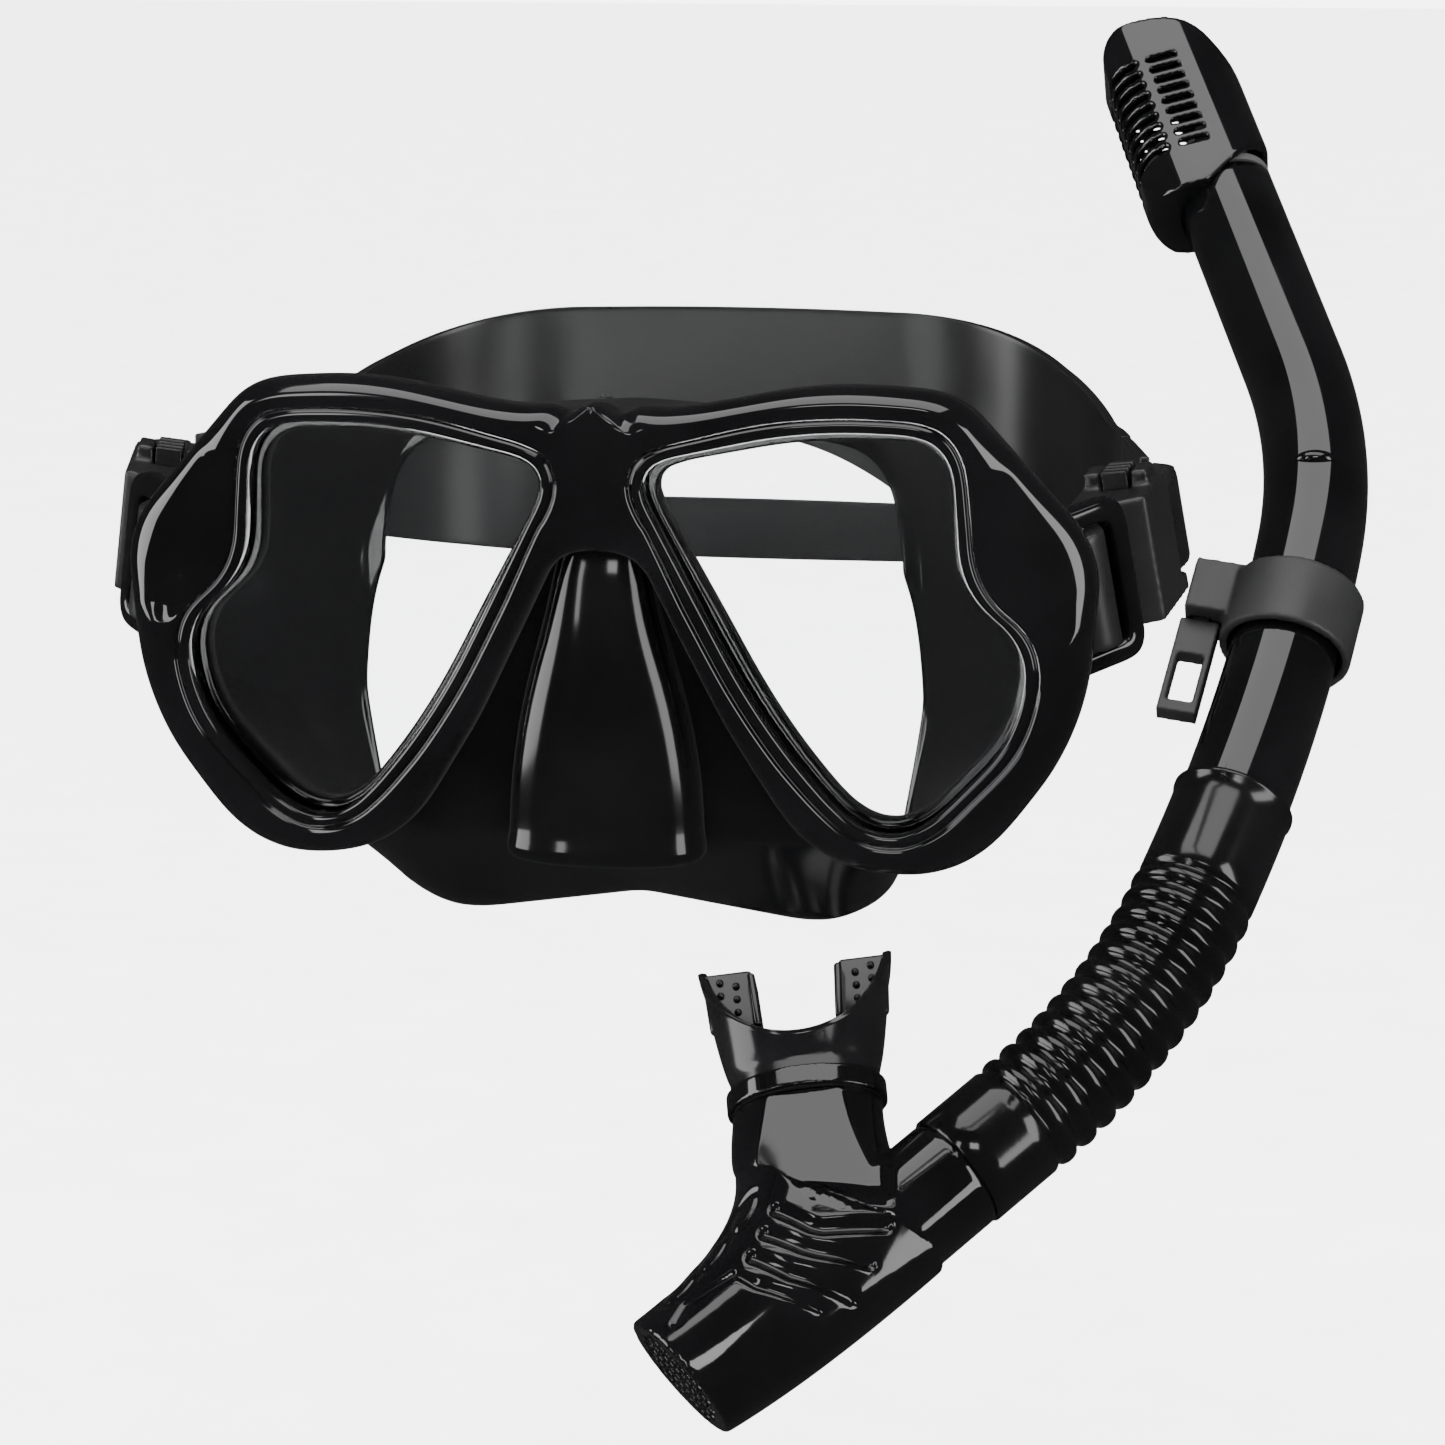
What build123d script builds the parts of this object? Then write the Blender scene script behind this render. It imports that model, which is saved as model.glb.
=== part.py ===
from build123d import *
import os
from math import cos, radians, sin, tan

# ---------------------------------------------------------------------------
# Dive mask with its dry-top snorkel, in millimetres.
# +Z is up, the lenses look along -Y and +X is the wearer's left.
# The origin is the middle of the face opening of the skirt.
# ---------------------------------------------------------------------------

ROUND_SHARE = 0.47         # the most of a side that one rounded corner may take
REACH = 200.0              # further than any piece of the mask reaches from the origin

# Mask: where each lens stands
LENS_DEPTH = 46.6          # front of the glass ahead of the face opening, on the centre line
LENS_WRAP = 4.9            # each pane turns this many degrees towards the temple
LENS_TILT = 2.9            # the top of each pane leans forward, degrees

# Mask: thicknesses
GLASS_THICK = 3.0
RIM_AHEAD = 3.2            # frame in front of the glass
RIM_BEHIND = 9.0           # frame behind the front of the glass
RIM_BEVEL = 1.8            # bevel round the outer front edge
LIP_BEVEL = 1.2            # bevel round the lens opening
GLASS_LAP = 2.3            # how far the glass runs in under the rim
FIT_GAP = 0.2              # gap round the glass and the retainer
SEAL_THICK = 2.0           # silicone lip behind the glass
SKIRT_WALL = 1.8
RETAINER_THICK = 3.2
FLANGE_LAP = 5.0           # inward turn of the face seal
FLANGE_THICK = 1.5

# Mask: outlines of one side, each corner as (x, z, corner radius)
LENS_CORNERS = [
    (6.7, 29.2, 7), (38.5, 36.0, 90), (64.8, 35.3, 10), (66.6, 7.1, 18),
    (79.3, -3.5, 14), (76.6, -20.5, 28), (53.6, -44.8, 16), (31.4, -19.3, 150),
]
FRAME_CORNERS = [
    (-4.0, 40.6, 0), (14.5, 39.3, 100), (42.6, 44.8, 100), (65.8, 43.0, 14),
    (92.0, 13.9, 20), (88.8, -20.3, 50), (67.9, -48.2, 25), (39.7, -46.1, 26),
    (23.4, -19.5, 60), (8.1, 11.6, 10), (-4.0, 13.6, 0),
]
SKIRT_FRONT = [
    (-20.0, 37.5, 0), (60.0, 39.0, 14), (80.0, 8.0, 18), (80.0, -20.0, 22),
    (58.0, -42.0, 18), (30.0, -43.0, 12), (-20.0, -40.0, 0),
]
SKIRT_BACK = [
    (-20.0, 37.0, 0), (46.0, 33.0, 16), (57.0, 8.0, 20), (57.0, -28.0, 20),
    (50.0, -60.0, 12), (38.0, -67.0, 12), (-20.0, -58.5, 0),
]
POCKET_FRONT = [(-5.5, 5.0, 3), (5.5, 5.0, 3), (17.5, -43.5, 3), (-17.5, -43.5, 3)]
POCKET_BACK = [(-7.5, 8.5, 4), (7.5, 8.5, 4), (22.0, -47.0, 4), (-22.0, -47.0, 4)]
POCKET_BACK_DEPTH = 34.0   # where the pocket opens into the skirt, ahead of the face opening
POCKET_AHEAD = 0.5         # nose pocket front ahead of the glass

# Mask: side arms, each a plate with a window
ARM_CENTRE = (88.0, -28.0, 5.7)
ARM_SWEEP = 42.0           # the plate runs backwards at this angle
ARM_LEAN = 13.0            # the window leans outwards at its foot
ARM_THICK = 5.0
WINDOW_WIDE = 13.4
WINDOW_HIGH = 23.4
WINDOW_DEEP = 9.0          # half the depth of the space kept open through the window
ARM_RAIL = 4.2             # plastic round the window
ARM_ROOT = 15.0            # from the middle of the window back into the frame

# Buckle, in its own frame: x back along the strap, y towards the head, z up the pin
STRAP_AWAY = 11.5          # the strap leaves the pin this many degrees off straight back
PIN_RADIUS = 1.5
PIN_RUN = 0.05             # running clearance round the pin
BARREL_RADIUS = 5.2
BARREL_HIGH = 22.4
HOOK_PLAN = [(-3.0, 4.9), (0.0, -0.5), (8.0, -0.5), (11.5, -2.5), (12.5, 5.0)]
BODY_FRONT_PLAN = [(11.5, -2.5), (14.5, -9.8), (20.0, -9.8), (20.0, 5.0), (12.0, 5.0)]
BODY_SIDE_PLAN = [(14.5, -9.8), (33.0, -9.8), (36.5, -6.0), (36.5, 3.0), (33.0, 5.0), (12.0, 5.0)]
COVER_PLAN = [(19.5, -9.8), (30.0, -9.8), (30.0, -8.6), (19.5, -8.6)]
BUCKLE_HIGH = 24.6
CHEEK_THICK = 3.4
ROLLER_PLACE = (27.0, -2.2)
ROLLER_RADIUS = 2.6
ROLLER_PIN_RADIUS = 1.2
ROLLER_RUN = 0.3
ROLLER_STUB = 0.9          # how far its pins run into the cheeks
BUTTON_LONG = 7.0
BUTTON_WIDE = 5.0
BUTTON_HIGH = 4.2
BUTTON_PROUD = 3.2         # above the top cheek at rest
BUTTON_GAP = 0.25
BUTTON_TRAVEL = 1.0
BUTTON_RIBS = 4
BUTTON_PLACE = (24.5, -2.2)
KNUCKLE = (6.0, 3.4, 3.0)
KNUCKLE_OFF = 4.6          # from the middle of the button to the middle of a knuckle
LUG = (5.0, 6.0, 1.6)

# Strap
STRAP_THICK = 2.0
STRAP_ROUTE = [(94.8, 21.4), (85.5, 74.0), (57.0, 112.5), (0.0, 117.0)]
STRAP_BENDS = [70.0, 50.0, 400.0]
TAIL_ROUTE = [(48.6, 3.0), (23.3, 1.5), (23.3, -5.9), (38.0, -8.6), (46.0, -5.5), (48.0, -0.2)]
TAIL_BENDS = [3.7, 3.7, 20.0, 4.0]
STRAP_TOP = [(15, 23.6), (50, 22.4), (58, 22), (72, 22.5), (88, 30), (105, 36.5), (114, 40), (121, 41.5)]
STRAP_FOOT = [(15, 0.9), (58, -2.4), (85, -6.5), (105, -11.5), (121, -16)]
SLOT_HALF = 38.0
SLOT_FOOT = -1.5
SLOT_TOP = 13.0

# Snorkel: its own plane leans back beside the mask. In it x runs with +X and
# y climbs towards the dry top; z faces the viewer of the lenses and upwards.
SNORKEL_PLACE = (120.3, 106.8, -21.8)
SNORKEL_LEAN = 45.0
HOSE_START = (-47.7, -125.1)
HOSE_HEADING = 47.5        # direction of the lower barrel, degrees from x
HOSE_BEND = (147.0, 24.5)  # radius and turn of the ribbed stretch
TUBE_BEND = (453.0, 11.5)  # slight bow of the rigid tube
NECK_BEND = (108.0, 26.5)  # bend near the top of the rigid tube
TOP_RUN = 35.0             # straight run from the last bend to the dry top

BARREL_OUT = 12.0          # radius of the chamber's barrel
BARREL_START = -48.0       # its foot inside the boot, along its own line from the hose
SPIGOT_OUT = 11.4
LOWER_CUFF = 17.0
UPPER_CUFF = 24.0
CUFF_OUT = 12.5
CUFF_FIT = 0.1             # radial gap between the hose and what it grips
HOSE_OUT = 11.6
HOSE_BORE = 9.6
RIB_OUT = 12.8
RIB_COUNT = 12
RIB_SHARE = 0.5            # part of the rib pitch that is rib
TUBE_FOOT = 11.5           # outer radius at the foot, and at the top
TUBE_HEAD = 11.2
TUBE_WALL = 1.6
TUBE_LAP = 18.0            # how far the tube runs down inside the upper cuff
CUFF_FLOOR = 1.5           # solid silicone between hose and cuff
STOP_BUMP = (5.0, 2.6, 3.0)  # across the tube, along it, radially

# Keeper on the tube
KEEPER_SHARE = 0.775       # place of the keeper along the rigid tube's slight bow
KEEPER_RUN = 0.7
KEEPER_WALL = 2.0
KEEPER_HIGH = 16.0
KEEPER_BLOCK = (12.5, 13.0, 12.0)
KEEPER_BLOCK_AT = (-16.2, 3.0)
CLIP_SIZE = (8.6, 24.0, 4.0)
CLIP_WINDOW = (5.6, 12.0)
CLIP_WINDOW_DROP = 3.0     # window below the middle of the loop
CLIP_OFF = 2.7             # clip further from the tube than the middle of the block
TONGUE = (4.0, 7.0, 3.0)
TONGUE_GAP = 0.35

# Chamber, cover and purge valve: oval sections as (x, y, heading, half width, half depth)
NECK_OVAL = (-88.9, -134.0, -86.0, 16.0, 10.4)
WAIST_OVAL = (-81.5, -149.5, -111.0, 23.5, 13.2)
BOOT_OVAL = (-92.0, -167.2, -130.0, 17.0, 13.2)
GRILLE_OVAL = (-109.0, -185.5, -132.5, 14.5, 11.5)
COVER_WALL = 1.6
COVER_GAP = 0.1
CHAMBER_WALL = 1.8
SPIGOT_HIGH = 8.0          # neck spigot inside the mouthpiece
SEAT_AT = 8.0              # purge seat back from the grille
SEAT_RADIUS = 8.6
SEAT_THICK = 1.6
SPOKE_WIDE = 1.6
FLAP_RADIUS = 8.0
FLAP_THICK = 0.8
FLAP_STEM = 0.9
FLAP_REST = 0.05           # gap between the flap and its seat at rest
GRILLE_SLOTS = 5
GRILLE_SLOT_WIDE = 1.4

# Mouthpiece: its own frame, y from the clamp to the mouth
MOUTH_PLACE = (-90.7, -123.7)
MOUTH_TURN = 11.0
MOUTH_NECK = (15.2, 9.8)
MOUTH_OPEN = (19.8, 12.5)
MOUTH_WALL = 1.7
MOUTH_FOOT = -1.5
MOUTH_WAIST = 12.0
MOUTH_TOP = 33.0
MOUTH_SCOOP = 17.5
LUG_PLATE = (10.0, 15.0, 2.4)
LUG_RIDGE = (1.8, 15.0, 8.0)
LUG_LINK = 3.4             # joins each lug to the lip shield
CLAMP_HIGH = 4.5
CLAMP_THICK = 1.1

# Dry top, in the frame of the tube's upper end: x across, y along the tube
SHROUD_CORNERS = [
    (-18.3, 13.0, 9), (-5.0, 13.0, 2), (12.4, 24.0, 1),
    (12.4, 47.0, 20), (4.0, 64.0, 18), (-16.5, 65.0, 6),
]
SHROUD_ACROSS = (-18.3, 12.4)
SHROUD_ENDS = (13.0, 65.0)
SHROUD_DEEP = 12.6
SHROUD_ROUND = 11.0
SHROUD_WALL = 1.6
SLOT_ROWS = 9
SLOT_PITCH = 3.3
SLOT_FIRST = 25.5
SLOT_HIGH = 1.5
SLOT_NEAR = (-8.0, -1.2)
SLOT_FAR = (-25.0, -10.6)
SLOT_SPINE = 1.5           # wall left between the slots of the two faces
SLOT_FLOOR = 5.0           # the near slots stop this far from the middle plane
TUBE_TOP = 18.0            # the tube ends this far up inside the shroud
VALVE_SEAT_THICK = 2.0
VALVE_FLAP = (8.4, 1.2)
VALVE_OPEN = 50.0
VALVE_PIN_RADIUS = 0.8
VALVE_PIN_AT = (-9.6, 22.4)
FLOAT_SIZE = (3.6, 9.0, 8.0)
FLOAT_AT = (-13.5, 26.0)


def rounded_corner(before, corner, after, bend):
    """Start, middle and end of the arc that rounds one corner of an outline."""
    back, ahead = before - corner, after - corner
    half_angle = radians(back.get_angle(ahead)) / 2
    reach = min(bend / tan(half_angle), ROUND_SHARE * back.length, ROUND_SHARE * ahead.length)
    bend = reach * tan(half_angle)
    inward = (back.normalized() + ahead.normalized()).normalized()
    middle = corner + inward * (bend / sin(half_angle) - bend)
    return corner + back.normalized() * reach, middle, corner + ahead.normalized() * reach


def corners_wire(corners):
    """Closed wire of straight sides and arcs; corners are (x, y, radius)."""
    points = [Vector(x, y) for x, y, _ in corners]
    arcs = [
        rounded_corner(points[i - 1], points[i], points[(i + 1) % len(points)], max(bend, 0.2))
        for i, (_, _, bend) in enumerate(corners)
    ]
    edges = []
    for i, (start, middle, end) in enumerate(arcs):
        edges.append(Edge.make_three_point_arc(start, middle, end))
        edges.append(Edge.make_line(end, arcs[(i + 1) % len(arcs)][0]))
    return Wire(edges)


def corners_face(corners):
    """Flat face of a closed outline whose corners are (x, y, radius)."""
    return Face(corners_wire(corners))


def grown(corners, amount):
    """The same corner outline with every side moved outwards by an amount."""
    points = [Vector(x, y) for x, y, _ in corners]
    turns = [
        (points[i] - points[i - 1]).cross(points[(i + 1) % len(points)] - points[i]).Z
        for i in range(len(points))
    ]
    hand = 1 if sum(points[i - 1].cross(points[i]).Z for i in range(len(points))) > 0 else -1
    moved = []
    for i, (_, _, bend) in enumerate(corners):
        into = (points[i] - points[i - 1]).normalized()
        away = (points[(i + 1) % len(points)] - points[i]).normalized()
        side = Vector(into.Y, -into.X) * hand + Vector(away.Y, -away.X) * hand
        place = points[i] + side * (2 * amount / side.dot(side))
        outside = 1 if turns[i] * hand > 0 else -1
        moved.append((place.X, place.Y, max(bend + outside * amount, 0.3)))
    return moved


def front_slab(face, front, back):
    """Solid of a front-view outline from one depth to another, depth growing backwards."""
    return Rot(90, 0, 0) * (Pos(0, 0, -back) * extrude(face, back - front, dir=(0, 0, 1)))


def front_loft(face_a, depth_a, face_b, depth_b):
    """Ruled solid from one front-view outline to another further back."""
    ends = [Pos(0, 0, -depth_a) * face_a, Pos(0, 0, -depth_b) * face_b]
    return Rot(90, 0, 0) * loft(ends, ruled=True)


def mirrored(shape):
    """The same shape on the other side of the mask."""
    return mirror(shape, about=Plane.YZ)


RIGHT_HALF = Pos(REACH, 0, 0) * Box(2 * REACH, 2 * REACH, 2 * REACH)
SIDE = Pos(0, -LENS_DEPTH, 0) * Rot(0, 0, LENS_WRAP) * Rot(LENS_TILT, 0, 0)

lens_face = corners_face(LENS_CORNERS)
glass_face = corners_face(grown(LENS_CORNERS, GLASS_LAP))
rebate_face = corners_face(grown(LENS_CORNERS, GLASS_LAP + FIT_GAP))

SEAL_FRONT = GLASS_THICK
SEAL_BACK = SEAL_FRONT + SEAL_THICK
RETAINER_BACK = SEAL_BACK + RETAINER_THICK


# ---------------------------------------------------------------------------
# Mask frame, glass and retainers
# ---------------------------------------------------------------------------
def arm_plane():
    """Plane of the side plate: x out and back, y up the window, z outwards."""
    sweep, lean = radians(ARM_SWEEP), radians(ARM_LEAN)
    along = (cos(lean) * cos(sweep), cos(lean) * sin(sweep), sin(lean))
    return Plane(ARM_CENTRE, x_dir=along, z_dir=(sin(sweep), -cos(sweep), 0))


def arm_plate():
    """Side plate with its window and the two holes for the swivel pin."""
    out = WINDOW_WIDE / 2 + ARM_RAIL
    high = WINDOW_HIGH + 2 * ARM_RAIL
    plate = Pos((out - ARM_ROOT) / 2, 0, 0) * extrude(
        RectangleRounded(out + ARM_ROOT, high, 4.5), ARM_THICK / 2, both=True
    )
    return arm_plane().location * plate


def arm_window():
    """What the side plate leaves open: its window and the holes for the swivel pin."""
    window = extrude(RectangleRounded(WINDOW_WIDE, WINDOW_HIGH, 1.2), WINDOW_DEEP, both=True)
    pin_hole = Rot(90, 0, 0) * Cylinder(PIN_RADIUS, pin_length())
    return arm_plane().location * (window + pin_hole)


def pin_length():
    """The swivel pin runs half way into each rail of the window."""
    return WINDOW_HIGH + ARM_RAIL


def frame_half():
    """Frame half: rim round one lens, with its rebate and side arm."""
    full = corners_face(FRAME_CORNERS)
    narrow = corners_face(grown(FRAME_CORNERS, -RIM_BEVEL))
    rim = front_slab(full, RIM_BEVEL - RIM_AHEAD, RIM_BEHIND)
    rim += front_loft(narrow, -RIM_AHEAD, full, RIM_BEVEL - RIM_AHEAD)
    rim -= front_slab(lens_face, -RIM_AHEAD - 1, RIM_BEHIND + 1)
    rim -= front_slab(rebate_face, 0, RIM_BEHIND + 1)
    rim -= front_loft(
        corners_face(grown(LENS_CORNERS, LIP_BEVEL)), -RIM_AHEAD, lens_face, LIP_BEVEL - RIM_AHEAD
    )
    body = SIDE * rim
    arm = arm_plate()
    keep_clear = SIDE * front_slab(rebate_face, -RIM_AHEAD - 5, RIM_BEHIND + 20)
    return (body + (arm - keep_clear) - arm_window()) & RIGHT_HALF


def lens_glass():
    """One flat pane."""
    return SIDE * front_slab(glass_face, 0, GLASS_THICK)


def lens_retainer():
    """Ring behind the silicone lip that holds the pane in its rebate."""
    ring = front_slab(glass_face, SEAL_BACK, RETAINER_BACK)
    ring -= front_slab(lens_face, SEAL_BACK - 1, RETAINER_BACK + 1)
    return SIDE * ring


# ---------------------------------------------------------------------------
# Silicone skirt with its nose pocket
# ---------------------------------------------------------------------------
COLLAR = 0.3               # skirt clear of the edge of the view
COLLAR_FACE = corners_face(grown(LENS_CORNERS, -COLLAR))
COLLAR_HOLE = corners_face(grown(LENS_CORNERS, -COLLAR - SKIRT_WALL))


def skirt_form(shrink, front_depth, back_y):
    """Lofted form of one skirt half from behind the frame to the face."""
    front = SIDE * Rot(90, 0, 0) * Pos(0, 0, -front_depth) * corners_face(grown(SKIRT_FRONT, -shrink))
    back = Rot(90, 0, 0) * Pos(0, 0, -back_y) * corners_face(grown(SKIRT_BACK, -shrink))
    return loft([front, back], ruled=True)


def skirt_half():
    """Half of the skirt: body, face flange, collar and lens lip."""
    shell = skirt_form(0, RIM_BEHIND, 0)
    shell -= skirt_form(SKIRT_WALL, RIM_BEHIND + SKIRT_WALL, FLANGE_THICK)
    flange = front_slab(corners_face(SKIRT_BACK), -FLANGE_THICK, 0)
    flange -= front_slab(
        corners_face(grown(SKIRT_BACK, -SKIRT_WALL - FLANGE_LAP)), -2 * FLANGE_THICK, FLANGE_THICK
    )
    lip = front_slab(glass_face, SEAL_FRONT, SEAL_BACK)
    collar = front_slab(COLLAR_FACE, SEAL_FRONT, RIM_BEHIND + SKIRT_WALL)
    opening = front_slab(COLLAR_HOLE, SEAL_FRONT - 1, RIM_BEHIND + 2 * SKIRT_WALL)
    return (shell + flange + SIDE * (lip + collar) - SIDE * opening) & RIGHT_HALF


def pocket_form(shrink, ahead, behind):
    """Wedge of the nose pocket, narrow at the bridge and wide at the lip."""
    return front_loft(
        corners_face(grown(POCKET_FRONT, -shrink)), -LENS_DEPTH - ahead,
        corners_face(grown(POCKET_BACK, -shrink)), -POCKET_BACK_DEPTH + behind,
    )


def skirt_whole():
    """Both halves joined, with the nose pocket let into the front wall."""
    side = skirt_half()
    body = side + mirrored(side)
    pocket = pocket_form(0, POCKET_AHEAD, 0)
    hollow = pocket_form(SKIRT_WALL, POCKET_AHEAD - SKIRT_WALL, 1)
    return body + pocket - hollow


# ---------------------------------------------------------------------------
# Strap, swivel pins and buckles
# ---------------------------------------------------------------------------
def band_corners(route, bends, thick):
    """Closed corner outline of a band of even thickness along an open route."""
    points = [Vector(*place) for place in route]
    bends = [0, *bends, 0]
    sides = ([], [])
    for i, point in enumerate(points):
        into = (point - points[i - 1]).normalized() if i else (points[1] - point).normalized()
        last = i == len(points) - 1
        away = into if last else (points[i + 1] - point).normalized()
        left = Vector(-into.Y, into.X) + Vector(-away.Y, away.X)
        turn = 1 if into.cross(away).Z > 0 else -1
        for hand, side in zip((1, -1), sides):
            place = point + left * (hand * thick / left.dot(left))
            side.append((place.X, place.Y, max(bends[i] - hand * turn * thick / 2, 0)))
    return sides[0] + sides[1][::-1]


def side_view(points):
    """Solid of a side-view outline (y, z) through the whole width of the mask."""
    flat = make_face(Polyline(*[(0, y, z) for y, z in points], close=True))
    return extrude(flat, REACH, dir=(1, 0, 0), both=True)


def strap_band():
    """Head strap: a band round the head, flared and split behind the head."""
    left = [(-x, y) for x, y in STRAP_ROUTE[-2::-1]]
    bends = STRAP_BENDS + STRAP_BENDS[-2::-1]
    plan = corners_face(band_corners(STRAP_ROUTE + left, bends, STRAP_THICK))
    band = extrude(plan, REACH, dir=(0, 0, 1), both=True)
    band &= side_view(STRAP_TOP + STRAP_FOOT[::-1])
    arch = make_face(
        ThreePointArc((-SLOT_HALF, 0, SLOT_FOOT), (0, 0, SLOT_TOP), (SLOT_HALF, 0, SLOT_FOOT))
        + Line((SLOT_HALF, 0, SLOT_FOOT), (-SLOT_HALF, 0, SLOT_FOOT))
    )
    slot = extrude(arch, REACH, dir=(0, 1, 0))
    return band - slot


def pin_axis():
    """Direction up the swivel pin of the right buckle."""
    return arm_plane().y_dir


def buckle_plane():
    """Plane of the right buckle: z up the pin, x back along the strap."""
    away = radians(STRAP_AWAY)
    back = Vector(sin(away), cos(away), 0)
    up = pin_axis()
    return Plane(ARM_CENTRE, x_dir=back - up * back.dot(up), z_dir=up)


def plan_block(points, low, high):
    """Upright block of a plan outline in the buckle's frame."""
    face = make_face(Polyline(*points, close=True))
    return Pos(0, 0, low) * extrude(face, high - low, dir=(0, 0, 1))


def swivel_pin():
    """Steel pin across the window of the side arm."""
    return Cylinder(PIN_RADIUS, pin_length())


def buckle_body():
    """Buckle: barrel on the pin, hook behind the arm, two cheeks and a front block."""
    half_high = BUCKLE_HIGH / 2
    barrel = Cylinder(BARREL_RADIUS, BARREL_HIGH)
    hook = plan_block(HOOK_PLAN, -BARREL_HIGH / 2, BARREL_HIGH / 2)
    front = plan_block(BODY_FRONT_PLAN, -half_high, half_high)
    cheek = plan_block(BODY_SIDE_PLAN, half_high - CHEEK_THICK, half_high)
    cheek += plan_block(BODY_SIDE_PLAN, -half_high, CHEEK_THICK - half_high)
    cover = plan_block(COVER_PLAN, -half_high, half_high)
    body = barrel + hook + front + cheek + cover
    for hand in (1, -1):
        knuckle = Pos(BUTTON_PLACE[0], BUTTON_PLACE[1] + hand * KNUCKLE_OFF, half_high)
        body += knuckle * Pos(0, 0, KNUCKLE[2] / 2) * Box(*KNUCKLE)
    lug_place = Pos(BUTTON_PLACE[0], BUTTON_PLACE[1], -half_high - LUG[2] / 2)
    body += lug_place * Box(*LUG)
    body -= Cylinder(PIN_RADIUS + PIN_RUN, BUCKLE_HIGH)
    roller_hole = Cylinder(ROLLER_PIN_RADIUS, BUCKLE_HIGH - 2 * CHEEK_THICK + 2 * ROLLER_STUB)
    body -= Pos(*ROLLER_PLACE, 0) * roller_hole
    pocket_deep = BUTTON_HIGH - BUTTON_PROUD + BUTTON_TRAVEL
    pocket = Box(BUTTON_LONG + 2 * BUTTON_GAP, BUTTON_WIDE + 2 * BUTTON_GAP, 2 * pocket_deep)
    return body - Pos(*BUTTON_PLACE, half_high) * pocket


def strap_roller():
    """Toothed roller that the strap turns round, on its own stub pins."""
    inside = BUCKLE_HIGH - 2 * CHEEK_THICK - 2 * ROLLER_RUN
    roller = Cylinder(ROLLER_RADIUS, inside)
    roller += Cylinder(ROLLER_PIN_RADIUS, BUCKLE_HIGH - 2 * CHEEK_THICK + 2 * ROLLER_STUB)
    return Pos(*ROLLER_PLACE, 0) * roller


def release_button():
    """Ribbed push button in the top cheek."""
    base = BUCKLE_HIGH / 2 + BUTTON_PROUD - BUTTON_HIGH
    button = Pos(0, 0, base + BUTTON_HIGH / 2) * Box(BUTTON_LONG, BUTTON_WIDE, BUTTON_HIGH)
    pitch = BUTTON_LONG / BUTTON_RIBS
    for rib in range(BUTTON_RIBS - 1):
        groove = Box(pitch / 3, BUTTON_WIDE + 1, 1.0)
        button -= Pos((rib - 1) * pitch, 0, base + BUTTON_HIGH) * groove
    return Pos(*BUTTON_PLACE, 0) * button


def strap_tail():
    """End of the strap: round the roller and back along the outside."""
    plan = corners_face(band_corners(TAIL_ROUTE, TAIL_BENDS, STRAP_THICK))
    high = BUCKLE_HIGH - 2 * CHEEK_THICK - 0.6
    return Pos(0, 0, -high / 2) * extrude(plan, high, dir=(0, 0, 1))


def mask_nodes():
    """Every piece of the mask, by name."""
    half = frame_half()
    nodes = {"mask_frame": half + mirrored(half), "skirt": skirt_whole(), "head_strap": strap_band()}
    buckle = buckle_plane().location
    pieces = {
        "lens": lens_glass(),
        "lens_retainer": lens_retainer(),
        "swivel_pin": buckle * swivel_pin(),
        "buckle": buckle * buckle_body(),
        "strap_roller": buckle * strap_roller(),
        "release_button": buckle * release_button(),
        "strap_tail": buckle * strap_tail(),
    }
    for name, piece in pieces.items():
        nodes[name + "_left"] = piece
        nodes[name + "_right"] = mirrored(piece)
    return nodes


# ---------------------------------------------------------------------------
# Snorkel, all in its own plane
# ---------------------------------------------------------------------------
def snorkel_plane():
    """Plane that the snorkel lies in, leaning back beside the mask."""
    lean = radians(SNORKEL_LEAN)
    return Plane(SNORKEL_PLACE, x_dir=(1, 0, 0), z_dir=(0, -cos(lean), sin(lean)))


def heading(angle):
    """Unit direction in the snorkel's plane."""
    return Vector(cos(radians(angle)), sin(radians(angle)), 0)


hose_arc = JernArc(HOSE_START, heading(HOSE_HEADING), HOSE_BEND[0], HOSE_BEND[1])
tube_arc = JernArc(hose_arc @ 1, hose_arc % 1, TUBE_BEND[0], TUBE_BEND[1])
neck_arc = JernArc(tube_arc @ 1, tube_arc % 1, NECK_BEND[0], NECK_BEND[1])
TOP_POINT = (neck_arc @ 1) + (neck_arc % 1) * TOP_RUN
TUBE_LONG = tube_arc.length + neck_arc.length + TOP_RUN
TOP_HEADING = HOSE_HEADING + HOSE_BEND[1] + TUBE_BEND[1] + NECK_BEND[1]


def across(place, direction):
    """Plane square to a direction, its x across the snorkel and its y towards the viewer."""
    side = Vector(direction.Y, -direction.X, 0)
    return Plane(place, x_dir=side, z_dir=direction)


def ring_sweep(path, outer, bore):
    """Tube of even section along a path."""
    section = across(path @ 0, path % 0).location * (Circle(outer) - Circle(bore))
    return sweep(section, path)


def barrel(start, end, radius):
    """Cylinder on the lower barrel's line; distances are measured up from the hose's start."""
    along = heading(HOSE_HEADING)
    place = Vector(*HOSE_START) + along * start
    return across(place, along).location * (Pos(0, 0, (end - start) / 2) * Cylinder(radius, end - start))


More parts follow.
